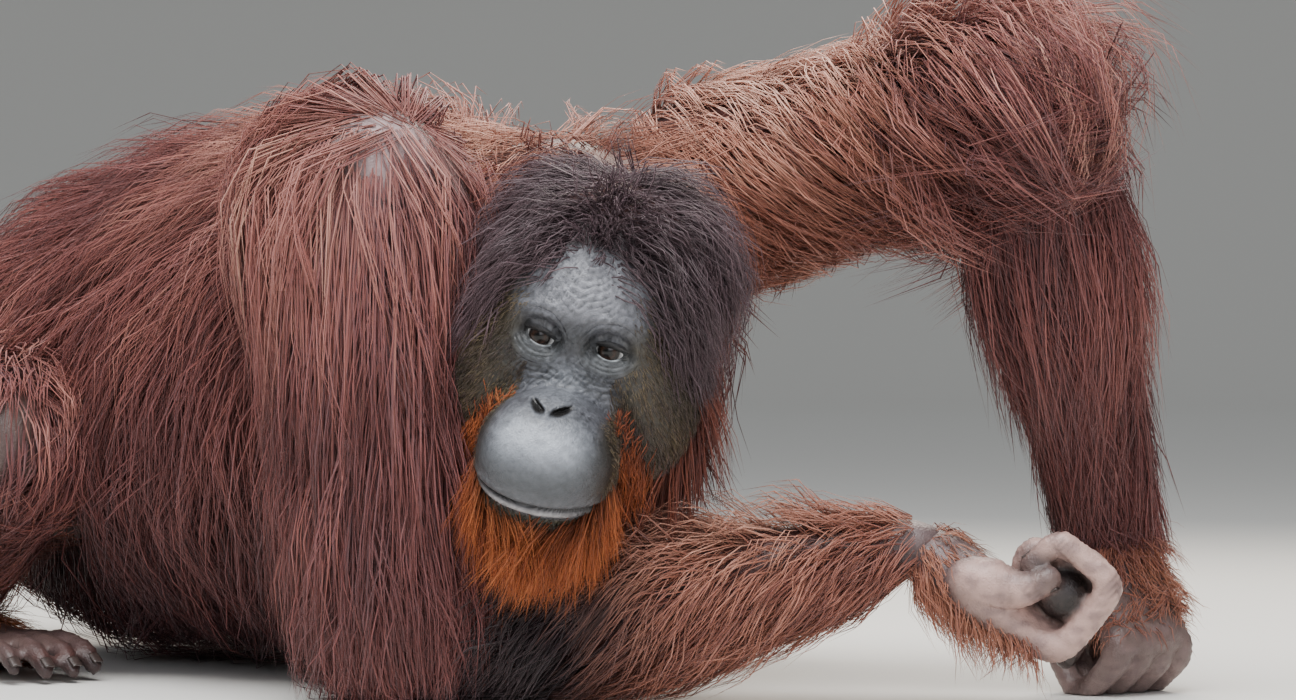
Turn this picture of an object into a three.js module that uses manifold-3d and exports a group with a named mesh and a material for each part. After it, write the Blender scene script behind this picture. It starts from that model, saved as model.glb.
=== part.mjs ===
// An adult orangutan at life size, crouched with one elbow on the floor, as a still museum figure.
// Millimetres, +Z up, +X to the animal's left across the view, +Y away from the viewer.
import * as THREE from 'three';
import { mergeVertices } from 'three/addons/utils/BufferGeometryUtils.js';
import Module from 'manifold-3d';

const wasm = await Module();
wasm.setup();

// Overall sizes
const GAP = 0.3; // between two pieces that meet
const CORE_SHARE = 0.35; // how much of the coat's depth the smooth core under the locks takes

// Where the body stands: the hips, and the way that the spine runs forward from them
const HIPS = new THREE.Vector3(-430, 470, 0);
const SPINE_TURN = THREE.MathUtils.degToRad(-45);

// The head: the point between the pupils, and how the face is turned, tipped and tilted
const EYES_AT = new THREE.Vector3(-54, -140, 270);
const HEAD_TURN = THREE.MathUtils.degToRad(-10);
const HEAD_TIP = THREE.MathUtils.degToRad(8);
const HEAD_TILT = THREE.MathUtils.degToRad(13);
const PUPIL_SPAN = 52;
const EYE_RADIUS = 11.5;
const EYE_DEPTH = 12.5; // centre of the eyeball behind the line between the pupils

// Joints of the arms
const RIGHT_ELBOW = new THREE.Vector3(-178, -30, 47);
const RIGHT_WRIST = new THREE.Vector3(200, -62, 121);
const LEFT_ELBOW = new THREE.Vector3(275, -53, 468);
const LEFT_WRIST = new THREE.Vector3(362, 70, 122);

const UP = new THREE.Vector3(0, 0, 1);
const V = (x, y, z) => new THREE.Vector3(x, y, z);

// A place given along the spine from the hips, to the animal's left, and above the floor
const FORWARD = V(Math.cos(SPINE_TURN), Math.sin(SPINE_TURN), 0);
const LEFTWARD = V(-FORWARD.y, FORWARD.x, 0);
const onBody = (forward, left, height) =>
  HIPS.clone().addScaledVector(FORWARD, forward).addScaledVector(LEFTWARD, left).setZ(height);

// A place or a direction given in the head's own frame: x to its left, y backwards, z up
const HEAD_FRAME = new THREE.Matrix4().makeTranslation(EYES_AT)
  .multiply(new THREE.Matrix4().makeRotationZ(HEAD_TURN))
  .multiply(new THREE.Matrix4().makeRotationX(HEAD_TIP))
  .multiply(new THREE.Matrix4().makeRotationY(HEAD_TILT));
const onHead = (x, y, z) => V(x, y, z).applyMatrix4(HEAD_FRAME);

const mix = (a, b, share) => a + (b - a) * share;
const degrees = (...angles) => angles.map((a) => THREE.MathUtils.degToRad(a));

// Solids from points and triangles, always turned to face out
function solid(points, triangles) {
  let volume = 0;
  for (const [a, b, c] of triangles) {
    volume += points[a].dot(points[b].clone().cross(points[c]));
  }
  const facing = volume < 0 ? triangles.map(([a, b, c]) => [a, c, b]) : triangles;
  return new wasm.Manifold(new wasm.Mesh({
    numProp: 3,
    vertProperties: new Float32Array(points.flatMap((p) => [p.x, p.y, p.z])),
    triVerts: new Uint32Array(facing.flat()),
  }));
}

function solidOf(geometry) {
  const bare = geometry.clone();
  bare.deleteAttribute('normal');
  bare.deleteAttribute('uv');
  const merged = mergeVertices(bare, 1e-4);
  const place = merged.getAttribute('position');
  const points = Array.from({ length: place.count }, (_, i) => V().fromBufferAttribute(place, i));
  const index = Array.from(merged.getIndex().array);
  const triangles = [];
  for (let i = 0; i < index.length; i += 3) triangles.push(index.slice(i, i + 3));
  return solid(points, triangles.filter(([a, b, c]) => a !== b && b !== c && a !== c));
}

const joined = (solids) => solids.reduce((all, one) => all.add(one));

function largest(form) {
  const pieces = form.decompose();
  return pieces.reduce((best, one) => (one.volume() > best.volume() ? one : best));
}

// Rows of points closed into one skin, with a single point at each end
function skinOf(start, rows, end) {
  const points = [start, ...rows.flat(), end];
  const count = rows[0].length;
  const at = (row, i) => 1 + row * count + (i % count);
  const triangles = [];
  for (let i = 0; i < count; i++) {
    triangles.push([0, at(0, i + 1), at(0, i)]);
    triangles.push([points.length - 1, at(rows.length - 1, i), at(rows.length - 1, i + 1)]);
    for (let row = 0; row + 1 < rows.length; row++) {
      triangles.push([at(row, i), at(row, i + 1), at(row + 1, i)]);
      triangles.push([at(row, i + 1), at(row + 1, i + 1), at(row + 1, i)]);
    }
  }
  return solid(points, triangles);
}

// A limb or trunk: oval rings along a smooth line through its stations, with rounded ends.
// A station is its place, the half width and half height of the flesh, and those of the coat.
class Limb {
  constructor(stations, { sides = 12, steps = 8, up = UP, caps = [60, 32], startCaps = caps } = {}) {
    [this.caps, this.startCaps] = [caps, startCaps].map((angles) => degrees(...angles));
    this.stations = stations;
    this.line = new THREE.CatmullRomCurve3(stations.map((s) => s.at), false, 'centripetal');
    this.sides = sides;
    this.steps = steps;
    this.up = up;
  }

  ring(t, share) {
    const place = t * (this.stations.length - 1);
    const i = Math.min(Math.floor(place), this.stations.length - 2);
    const ease = THREE.MathUtils.smoothstep(place - i, 0, 1) * 0.5 + (place - i) * 0.5;
    const size = (axis) => [this.stations[i], this.stations[i + 1]]
      .map((s) => mix(s.flesh[axis], s.coat[axis], share))
      .reduce((a, b) => mix(a, b, ease));
    const along = this.line.getTangent(t);
    const side = along.clone().cross(this.up).normalize();
    const up = side.clone().cross(along);
    return { at: this.line.getPoint(t), along, side, up, w: size(0), h: size(1) };
  }

  points(ring, scale, shift, grow) {
    const middle = ring.at.clone().addScaledVector(ring.along, shift);
    return Array.from({ length: this.sides }, (_, i) => {
      const angle = (2 * Math.PI * (i + 0.5)) / this.sides;
      return middle.clone()
        .addScaledVector(ring.side, (ring.w + grow) * scale * Math.cos(angle))
        .addScaledVector(ring.up, (ring.h + grow) * scale * Math.sin(angle));
    });
  }

  // A point of the skin and its way out: t under 0 or over 1 runs on round the end
  surface(t, angle, share) {
    const ring = this.ring(THREE.MathUtils.clamp(t, 0, 1), share);
    const past = t < 0 ? t : Math.max(t - 1, 0);
    const rise = (past * Math.PI) / 2;
    const out = V(0, 0, 0).addScaledVector(ring.side, Math.cos(angle) / ring.w)
      .addScaledVector(ring.up, Math.sin(angle) / ring.h).normalize()
      .multiplyScalar(Math.cos(rise)).addScaledVector(ring.along, Math.sin(rise));
    const root = ring.at.clone().addScaledVector(ring.side, ring.w * Math.cos(angle) * Math.cos(rise))
      .addScaledVector(ring.up, ring.h * Math.sin(angle) * Math.cos(rise))
      .addScaledVector(ring.along, Math.min(ring.w, ring.h) * Math.sin(rise));
    return { ring, root, out };
  }

  solid(share, grow = 0) {
    const rings = Array.from({ length: this.steps + 1 }, (_, i) => this.ring(i / this.steps, share));
    const first = rings[0];
    const last = rings[this.steps];
    const reach = (ring) => Math.min(ring.w, ring.h) + grow;
    const rows = [
      ...this.startCaps.map((a) => this.points(first, Math.cos(a), -reach(first) * Math.sin(a), grow)),
      ...rings.map((ring) => this.points(ring, 1, 0, grow)),
      ...this.caps.toReversed().map((a) => this.points(last, Math.cos(a), reach(last) * Math.sin(a), grow)),
    ];
    const tip = (ring, way) => ring.at.clone().addScaledVector(ring.along, way * reach(ring));
    return skinOf(tip(first, -1), rows, tip(last, 1));
  }
}

const station = (at, flesh, coat) => ({ at, flesh, coat: coat ?? flesh });

// The trunk, from the rump to the base of the neck
const TRUNK = new Limb([
  [-110, 212, 110, 95, 24],
  [-50, 215, 172, 155, 30],
  [60, 228, 198, 190, 34],
  [180, 240, 208, 200, 36],
  [300, 250, 205, 200, 38],
  [400, 268, 190, 182, 38],
  [470, 298, 160, 150, 34],
  [515, 322, 115, 112, 28],
].map(([forward, height, width, depth, coat]) => station(
  onBody(forward, 0, height),
  [width, depth],
  [width + coat, depth + coat],
)), { sides: 18, steps: 11 });
const ABDOMEN_FROM = 45; // along the spine, where the pelvis ends
const CHEST_FROM = 290; // and where the chest begins

// The neck, from between the shoulders to the back of the skull
const NECK = new Limb([
  station(onBody(500, 0, 345), [95, 90], [120, 112]),
  station(onBody(560, 0, 338), [82, 80], [104, 100]),
  station(onHead(0, 105, -10), [68, 74], [86, 90]),
], { sides: 8, steps: 3, caps: [] });

// The arms: shoulder to elbow, then elbow to wrist
const ARMS = {
  right: {
    shoulder: onBody(490, -185, 385),
    elbow: RIGHT_ELBOW,
    wrist: RIGHT_WRIST,
    up: V(0.5, -1, 0),
    forearmUp: V(0, 0, 1),
    upperCoat: [34, 50],
    foreCoat: [30, 30],
  },
  left: {
    shoulder: onBody(515, 170, 402),
    elbow: LEFT_ELBOW,
    wrist: LEFT_WRIST,
    up: V(0, 0, 1),
    forearmUp: V(0, -1, 0.2),
    upperCoat: [62, 70],
    foreCoat: [45, 45],
  },
};

function armLimbs({ shoulder, elbow, wrist, up, forearmUp, upperCoat, foreCoat }) {
  const size = (w, h, coat, share) => [[w, h], [w + coat[0] * share, h + coat[1] * share]];
  const upper = new Limb([
    station(shoulder, ...size(72, 76, upperCoat, 0.7)),
    station(shoulder.clone().lerp(elbow, 0.35), ...size(58, 62, upperCoat, 1)),
    station(shoulder.clone().lerp(elbow, 0.7), ...size(48, 52, upperCoat, 1)),
    station(elbow, ...size(42, 44, upperCoat, 0.35)),
  ], { sides: 12, steps: 5, up });
  const fore = new Limb([
    station(elbow.clone().lerp(wrist, 0.06), ...size(40, 40, foreCoat, 0.1)),
    station(elbow.clone().lerp(wrist, 0.3), ...size(50, 48, foreCoat, 1)),
    station(elbow.clone().lerp(wrist, 0.7), ...size(36, 34, foreCoat, 1)),
    station(wrist, ...size(31, 24, foreCoat, 0.4)),
  ], { sides: 12, steps: 5, up: forearmUp });
  return { upper, fore };
}

// The legs, folded beside the belly: hip to knee, knee to ankle, then the foot flat on the floor
function legLimbs(way) {
  const hip = onBody(-5, way * 105, 205);
  const knee = onBody(150, way * 275, 190);
  const ankle = onBody(-15, way * 232, 58);
  const thigh = new Limb([
    station(hip, [92, 92], [112, 112]),
    station(hip.clone().lerp(knee, 0.5), [76, 78], [98, 100]),
    station(knee, [52, 54], [66, 68]),
  ], { sides: 12, steps: 4 });
  const shank = new Limb([
    station(knee, [50, 48], [60, 58]),
    station(knee.clone().lerp(ankle, 0.4), [46, 46], [64, 64]),
    station(ankle, [32, 32], [44, 42]),
  ], { sides: 10, steps: 4, up: V(0.3, 0, 1) });
  return { thigh, shank, ankle };
}

// A digit: three phalanges bent one after another towards the palm or sole
function digit(root, along, palm, lengths, bends, radius) {
  const across = along.clone().cross(palm).normalize();
  const way = along.clone();
  const points = [root.clone().addScaledVector(along, -radius)];
  const place = root.clone();
  lengths.forEach((length, i) => {
    way.applyAxisAngle(across, bends[i]);
    points.push(place.clone().addScaledVector(way, length * 0.12));
    place.addScaledVector(way, length);
    points.push(place.clone().addScaledVector(way, -length * 0.12));
  });
  const sizes = points.map((_, i) => radius * mix(1, 0.74, i / (points.length - 1)));
  return new Limb(
    points.map((at, i) => station(at, [sizes[i], sizes[i]])),
    { sides: 5, steps: 6, up: across, caps: [45], startCaps: [] },
  );
}

// A hand or foot: its palm or sole, the first digit set apart, and four long digits side by side
function extremity({ root, along, palm, way, length, width, depth, spread, digits, first }) {
  const across = along.clone().cross(palm).normalize().multiplyScalar(way);
  const place = (forward, side, up) => root.clone().addScaledVector(along, forward)
    .addScaledVector(across, side).addScaledVector(palm, up);
  const pad = new Limb([
    station(place(0, 0, 0), [width[0], depth[0]], [width[0] + 6, depth[0] + 5]),
    station(place(length * 0.45, 3, 0), [width[1], depth[1]], [width[1] + 6, depth[1] + 5]),
    station(place(length * 0.86, 0, 0), [width[2], depth[2]]),
  ], { sides: 10, steps: 4, up: palm, caps: [45] });
  const long = digits.scale.map((scale, i) => digit(
    place(length, spread * (1.5 - i), 0),
    along.clone().addScaledVector(across, digits.fan * (1.5 - i)).normalize(),
    palm,
    digits.lengths.map((l) => l * scale),
    digits.bends,
    digits.radius * (i === 3 ? 0.88 : 1),
  ));
  const short = digit(
    place(first.forward, first.side, first.up),
    along.clone().multiplyScalar(first.along).addScaledVector(across, first.across)
      .addScaledVector(palm, first.lift).normalize(),
    palm,
    first.lengths,
    first.bends,
    first.radius,
  );
  return { pad, long, short };
}

const HAND_SIZES = {
  length: 108,
  width: [31, 43, 42],
  depth: [22, 21, 16],
  spread: 22,
};
const RIGHT_HAND_ALONG = V(0.82, -0.08, -0.56).normalize();
const HANDS = {
  right: extremity({
    ...HAND_SIZES,
    root: RIGHT_WRIST.clone().addScaledVector(RIGHT_HAND_ALONG, 20),
    along: RIGHT_HAND_ALONG,
    palm: V(0.56, 0, 0.82).normalize(),
    way: 1,
    digits: {
      scale: [0.96, 1, 0.97, 0.86], fan: 0.02, radius: 10.8,
      lengths: [68, 52, 30], bends: degrees(88, 92, 78),
    },
    first: {
      forward: 30, side: 40, up: 12, along: 1, across: 0.25, lift: 0.5,
      lengths: [26, 24, 20], bends: degrees(0, 18, 22), radius: 11,
    },
  }),
  left: extremity({
    ...HAND_SIZES,
    root: LEFT_WRIST.clone().add(V(3, -2, -14)),
    along: V(0.3, -0.42, -1).normalize(),
    palm: V(-0.55, 0.72, -0.47).normalize(),
    way: -1,
    length: 84,
    digits: {
      scale: [0.96, 1, 0.97, 0.86], fan: 0.02, radius: 10.8,
      lengths: [58, 44, 26], bends: degrees(78, 88, 70),
    },
    first: {
      forward: 30, side: 38, up: 6, along: 1, across: 0.5, lift: 0.3,
      lengths: [22, 20, 16], bends: degrees(0, 14, 16), radius: 10.5,
    },
  }),
};

function foot(way, ankle) {
  const along = FORWARD.clone().addScaledVector(LEFTWARD, way * 0.12).normalize();
  return extremity({
    root: ankle.clone().addScaledVector(along, -22).setZ(26),
    along,
    palm: V(0, 0, -1),
    way: -way,
    length: 150,
    width: [32, 36, 37],
    depth: [28, 24, 15],
    spread: 21,
    digits: {
      scale: [0.92, 1, 0.98, 0.88], fan: 0.03, radius: 10.4,
      lengths: [42, 36, 24], bends: degrees(-6, 16, 30),
    },
    first: {
      forward: 62, side: 32, up: 2, along: 0.72, across: 0.7, lift: 0.12,
      lengths: [24, 22, 16], bends: degrees(0, 8, 12), radius: 11.5,
    },
  });
}

// The head: a smooth blend of rounded masses in its own frame, read outwards from one inner point
const HEAD_CORE = V(0, 45, -50);
const HEAD_MASSES = [
  { at: V(0, 96, 40), size: V(73, 92, 74) }, // skull
  { at: V(0, 42, 22), size: V(68, 50, 44) }, // forehead and brow
  { at: V(0, 38, -14), size: V(74, 38, 50) }, // middle of the face
  { at: V(52, 50, -38), size: V(36, 42, 58) }, // cheeks
  { at: V(-52, 50, -38), size: V(36, 42, 58) },
  { at: V(0, -20, -80), size: V(51, 60, 47) }, // muzzle
  { at: V(0, 8, -103), size: V(46, 62, 36) }, // chin
  { at: V(0, 72, -90), size: V(58, 58, 46) }, // throat
];
const HEAD_BLEND = 18;
const SOCKETS = [-1, 1].map((way) => ({ at: V(way * 27, -10, -1), size: V(20, 22, 15) }));
const SOCKET_BLEND = 9;
const CROWN_COAT = 34; // how far the crown's hair stands off the skull

const ovalDistance = (p, { at, size }, grow = 0) => {
  const q = p.clone().sub(at);
  const radii = size.clone().addScalar(grow);
  const far = q.clone().divide(radii).length();
  const slope = q.clone().divide(radii).divide(radii).length();
  return slope > 0 ? (far * (far - 1)) / slope : -Math.min(radii.x, radii.y, radii.z);
};

const blendOf = (a, b, k) => {
  const h = Math.max(k - Math.abs(a - b), 0) / k;
  return Math.min(a, b) - (h * h * k) / 4;
};

function headDistance(p) {
  const outer = HEAD_MASSES.map((mass) => ovalDistance(p, mass))
    .reduce((a, b) => blendOf(a, b, HEAD_BLEND));
  const inner = SOCKETS.map((socket) => -ovalDistance(p, socket));
  return inner.reduce((d, hollow) => -blendOf(-d, -hollow, SOCKET_BLEND), outer);
}

function headReach(way, grow, distance = headDistance) {
  let inside = 0;
  let outside = 320;
  const at = (r) => distance(HEAD_CORE.clone().addScaledVector(way, r)) - grow;
  for (let r = outside; r > 0; r -= 6) {
    if (at(r) < 0) {
      inside = r;
      break;
    }
    outside = r;
  }
  for (let i = 0; i < 18; i++) {
    const middle = (inside + outside) / 2;
    if (at(middle) < 0) inside = middle;
    else outside = middle;
  }
  return (inside + outside) / 2;
}

const FRONT_ROWS = 1.3; // sets the rows closer on the face than on the back of the skull
function headSkin({ rows = 17, sides = 26, grow = 0, distance = headDistance } = {}) {
  const point = (polar, turn) => {
    const way = V(Math.sin(polar) * Math.cos(turn), -Math.cos(polar), Math.sin(polar) * Math.sin(turn));
    const reach = headReach(way, grow, distance);
    return HEAD_CORE.clone().addScaledVector(way, reach).applyMatrix4(HEAD_FRAME);
  };
  const polarOf = (row) => Math.PI * ((row + 1) / (rows + 1)) ** FRONT_ROWS;
  const rings = Array.from({ length: rows }, (_, row) => Array.from(
    { length: sides },
    (__, i) => point(polarOf(row), (2 * Math.PI * (i + 0.5)) / sides),
  ));
  return skinOf(point(0, 0), rings, point(Math.PI, 0));
}

function crownDistance(p) {
  const cap = ovalDistance(p, HEAD_MASSES[0], CROWN_COAT * CORE_SHARE);
  const face = ovalDistance(p, { at: V(0, -30, -40), size: V(95, 75, 100) });
  return blendOf(headDistance(p), Math.max(cap, -face), HEAD_BLEND);
}

// The mouth: a line round the muzzle, on the plane that parts the jaw from the face
const MOUTH_MIDDLE = V(0, -82, -112);
const MOUTH_RISE = 0.17;
const MOUTH_NORMAL = V(0, -MOUTH_RISE, 1).normalize().transformDirection(HEAD_FRAME);

function trimmed(form, normal, through) {
  return form.trimByPlane(normal.toArray(), normal.dot(through));
}

const onFloor = (form) => trimmed(form, UP, V(0, 0, 0));

const eyeball = (way, grow) => solidOf(
  new THREE.SphereGeometry(EYE_RADIUS + grow, 10, 6).rotateX(Math.PI / 2)
    .translate((way * PUPIL_SPAN) / 2, EYE_DEPTH, 0).applyMatrix4(HEAD_FRAME),
);

// A lid: a thin shell round the eyeball, open in an almond at the front
const LID = { thick: 2.6, wider: 1.12, open: V(10.5, 14, 4.6), drop: -1 };
function lid(way, grow) {
  const oval = (size, y, z) => solidOf(
    new THREE.SphereGeometry(1, 10, 6).rotateX(Math.PI / 2).scale(size.x, size.y, size.z)
      .translate((way * PUPIL_SPAN) / 2, EYE_DEPTH + y, z).applyMatrix4(HEAD_FRAME),
  );
  const radius = EYE_RADIUS + LID.thick + grow;
  const shell = oval(V(radius * LID.wider, radius, radius), 0, 0);
  return grow > 0 ? shell : shell.subtract(oval(LID.open, -EYE_RADIUS, LID.drop));
}

// The lips: a low ridge on each side of the mouth's line, round the front of the muzzle
const LIP = { proud: 3, tall: 9, apart: 0.9, back: -12 };
function lip(way, grow) {
  const outward = MOUTH_NORMAL.clone().multiplyScalar(way);
  const from = onHead(...MOUTH_MIDDLE).addScaledVector(outward, LIP.apart - grow);
  const to = from.clone().addScaledVector(outward, LIP.tall + 2 * grow);
  const front = V(0, -1, 0).transformDirection(HEAD_FRAME);
  const whole = headSkin({ rows: 10, sides: 18, grow: LIP.proud + grow });
  const skin = trimmed(whole, front, onHead(0, LIP.back + grow, 0));
  return trimmed(trimmed(skin, outward, from), outward.clone().negate(), to);
}

// The nostrils: two slanted slits high on the muzzle
const NOSTRIL = { x: 9, z: -52, size: V(4.2, 9, 2.6), slant: 0.45 };
function nostril(way) {
  const y = HEAD_CORE.y - headReach(V(0, -1, 0), 0);
  return solidOf(new THREE.SphereGeometry(1, 8, 6).scale(...NOSTRIL.size).rotateY(way * NOSTRIL.slant)
    .translate(way * NOSTRIL.x, y, NOSTRIL.z).applyMatrix4(HEAD_FRAME));
}

// An ear: a small shell flat against the side of the head, hollowed from outside
const EAR_PLACE = { y: 80, z: -4 };
const EAR_SIZE = V(9, 15, 21);
function ear(way, grow) {
  let out = 140;
  while (crownDistance(V(out, EAR_PLACE.y, EAR_PLACE.z)) > 0) out -= 1;
  const oval = (x, y, z, size) => solidOf(
    new THREE.SphereGeometry(1, 9, 5).scale(size.x, size.y, size.z)
      .translate(way * x, EAR_PLACE.y + y, EAR_PLACE.z + z).applyMatrix4(HEAD_FRAME),
  );
  const shell = oval(out + 1, 0, 0, EAR_SIZE.clone().addScalar(grow));
  const cup = EAR_SIZE.clone().multiply(V(0.8, 0.6, 0.66));
  return grow > 0 ? shell : shell.subtract(oval(out + EAR_SIZE.x + 1, -3, 1, cup));
}

// The coat: where its locks may lie, read from ovals set along every limb and in the head
const DOWN = UP.clone().negate();
const FLOOR_CLEAR = 5; // lowest line of a lock above the floor
const ROOT_DEPTH = 9; // how far a lock's root is sunk into its node
const OVER_OTHERS = 16; // room kept over the coat of the other nodes
const ovals = [];

function addOvals(node, limb) {
  const rings = Array.from({ length: limb.steps + 1 }, (_, i) => limb.ring(i / limb.steps, CORE_SHARE));
  rings.forEach((ring, i) => {
    const space = ring.at.distanceTo(rings[i === 0 ? 1 : i - 1].at);
    const isEnd = i === 0 || i === limb.steps;
    const least = Math.min(ring.w, ring.h);
    const length = isEnd ? least : Math.min(Math.max(least, space * 1.3), space * 2);
    const axes = [ring.side, ring.up, ring.along];
    ovals.push({ node, at: ring.at, axes, size: [ring.w, ring.h, length] });
  });
}

function addHeadOvals() {
  const axes = [V(1, 0, 0), V(0, 1, 0), V(0, 0, 1)].map((axis) => axis.transformDirection(HEAD_FRAME));
  for (const { at, size } of HEAD_MASSES) {
    ovals.push({ node: 'head', at: onHead(at.x, at.y, at.z), axes, size: size.toArray() });
  }
}

// The nearest oval's surface: how far out the point is, and which way is out
function nearest(p, isWanted) {
  let best = { distance: Infinity };
  for (const oval of ovals) {
    if (!isWanted(oval.node)) continue;
    const from = p.clone().sub(oval.at);
    const share = oval.axes.map((axis, i) => from.dot(axis) / oval.size[i]);
    const far = Math.hypot(...share);
    const slope = Math.hypot(...share.map((s, i) => s / oval.size[i]));
    const distance = slope > 0 ? (far * (far - 1)) / slope : -Math.min(...oval.size);
    if (distance < best.distance) {
      const out = V(0, 0, 0);
      oval.axes.forEach((axis, i) => out.addScaledVector(axis, share[i] / oval.size[i]));
      best = { distance, out: out.normalize() };
    }
  }
  return best;
}

// A lock of hair: a flat strip with a low ridge, tapered to its tip, that follows the body.
// It leaves its own node's surface by rise at the tip, and may lift by loose more; every other
// lock of a row lies a tier higher, so that neighbours overlap.
const BASE_ROOM = 0.7; // of its thickness, under a lock of the lower tier
const TIER_ROOM = 1.1; // of its thickness, from one tier to the next
const ROOT_WIDTH = 0.8; // of its full width
const EDGE_DROP = 0.3; // of its thickness, from the middle line to the edges
const RIDGE = 0.7; // of its thickness, from the middle line to the ridge
const SHARP_EDGE = 12; // how many times further than its faces a grown lock's thin edges move out
const SHARPEST_TURN = 0.5; // cosine of the turn at which a lock ends instead of folding
class Lock {
  constructor({
    node, root, out, flow, length, width, thick, droop, lift, rise, loose = 3, tier = 0, steps = 4, sway = 0,
  }) {
    this.thick = thick;
    this.points = [{ at: root.clone().addScaledVector(out, -ROOT_DEPTH), out, width: width * ROOT_WIDTH }];
    const way = flow.clone().addScaledVector(out, -flow.dot(out)).normalize()
      .addScaledVector(out, lift).normalize();
    const across = way.clone().cross(out).normalize();
    const at = root.clone();
    for (let i = 1; i <= steps; i++) {
      const share = i / steps;
      way.addScaledVector(DOWN, droop).addScaledVector(across, sway * Math.sin(share * 5)).normalize();
      at.addScaledVector(way, length / steps);
      const own = nearest(at, (name) => name === node);
      const room = thick * (BASE_ROOM + TIER_ROOM * tier) + rise * share;
      const held = THREE.MathUtils.clamp(own.distance, room, room + loose * share);
      at.addScaledVector(own.out, held - own.distance);
      const other = nearest(at, (name) => name !== node);
      const keep = thick + OVER_OTHERS * share;
      if (other.distance < keep) at.addScaledVector(other.out, keep - other.distance);
      at.z = Math.max(at.z, FLOOR_CLEAR);
      const last = this.points[this.points.length - 1];
      const before = way.clone();
      way.copy(at).sub(last.at).normalize();
      if (i > 1 && way.dot(before) < SHARPEST_TURN) break;
      const near = other.distance < own.distance ? other : own;
      const taper = 1.04 - share ** 2.6;
      const facing = near.out.clone().lerp(out, 0.3).normalize();
      this.points.push({ at: at.clone(), out: facing, width: width * taper });
    }
  }

  solid(grow = 0) {
    const count = this.points.length;
    const wayAt = (i) => this.points[Math.min(i + 1, count - 1)].at.clone()
      .sub(this.points[Math.max(i - 1, 0)].at).normalize();
    let before = null;
    const rows = this.points.slice(0, -1).map(({ at, out, width }, i) => {
      const across = wayAt(i).cross(out).normalize();
      if (before) across.multiplyScalar(Math.sign(across.dot(before)) || 1).lerp(before, 0.4).normalize();
      before = across;
      const rise = across.clone().cross(wayAt(i)).normalize();
      const edge = (side) => at.clone().addScaledVector(across, side * (width / 2 + SHARP_EDGE * grow))
        .addScaledVector(rise, -this.thick * EDGE_DROP - grow);
      const ridge = at.clone().addScaledVector(rise, this.thick * RIDGE + 2 * grow);
      return [edge(-1), edge(1), ridge].map((p) => p.setZ(Math.max(p.z, 2 - grow)));
    });
    const start = this.points[0].at.clone().addScaledVector(wayAt(0), -this.thick * 0.4 - 3 * grow);
    const end = this.points[count - 1].at.clone().addScaledVector(wayAt(count - 1), SHARP_EDGE * grow);
    return skinOf(start, rows, end);
  }
}

// A seeded draw, so that the coat is the same each time. Each node's locks start from a seed of
// their own.
const SEEDS = {
  neck: 11, pelvis: 11, abdomen: 11, chest: 13, head: 11, lower_jaw: 11,
  upper_arm_right: 12, forearm_right: 11, upper_arm_left: 13, forearm_left: 11,
  thigh_right: 11, shank_right: 11, thigh_left: 11, shank_left: 11,
};
let drawn = 0;
function draw(low, high) {
  drawn = (drawn * 1664525 + 1013904223) % 4294967296;
  return low + ((high - low) * drawn) / 4294967296;
}

// Rows of locks round a limb, each row set between those before it
function coatOn(node, limb, options) {
  const { seed, from, to, rows, around, angles = [0, 360], flow, width, length, ...rest } = options;
  const locks = [];
  drawn = seed;
  for (let row = 0; row < rows; row++) {
    for (let i = 0; i < around; i++) {
      const t = mix(from, to, (row + draw(0.35, 0.65)) / rows);
      const turn = (i + 0.25 + (row % 2) * 0.5 + draw(-0.1, 0.1)) / around;
      const angle = THREE.MathUtils.degToRad(mix(angles[0], angles[1], turn));
      const { ring, root, out } = limb.surface(t, angle, CORE_SHARE);
      const sizes = [draw(0.88, 1.12), draw(0.88, 1.14), draw(-0.1, 0.1)];
      if (nearest(root, (name) => name !== node).distance < 8 || root.z < 26) continue;
      locks.push(new Lock({
        node, root, out, flow: flow({ ring, out, t, angle }), width: width * sizes[0],
        length: (typeof length === 'function' ? length({ t, out, root }) : length) * sizes[1],
        sway: sizes[2], tier: i % 2, ...rest,
      }));
    }
  }
  return locks;
}

// How each part of the coat lies
const BACKWARD = FORWARD.clone().negate();
function blended(...parts) {
  return parts.reduce((sum, [way, share]) => sum.addScaledVector(way, share), V(0, 0, 0));
}
const TRUNK_LOCK = { width: 80, thick: 8, droop: 0.35, lift: 0.1, rise: 20 };

function trunkLocks({ length, ...rest }) {
  return coatOn('trunk', TRUNK, {
    ...TRUNK_LOCK, ...rest, steps: 3, angles: [-40, 220],
    length: ({ out }) => length * mix(1.15, 0.75, Math.max(out.z, 0)),
    flow: ({ out }) => blended([BACKWARD, 0.35 + 0.6 * Math.max(out.z, 0)], [DOWN, 1]),
  });
}

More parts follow.
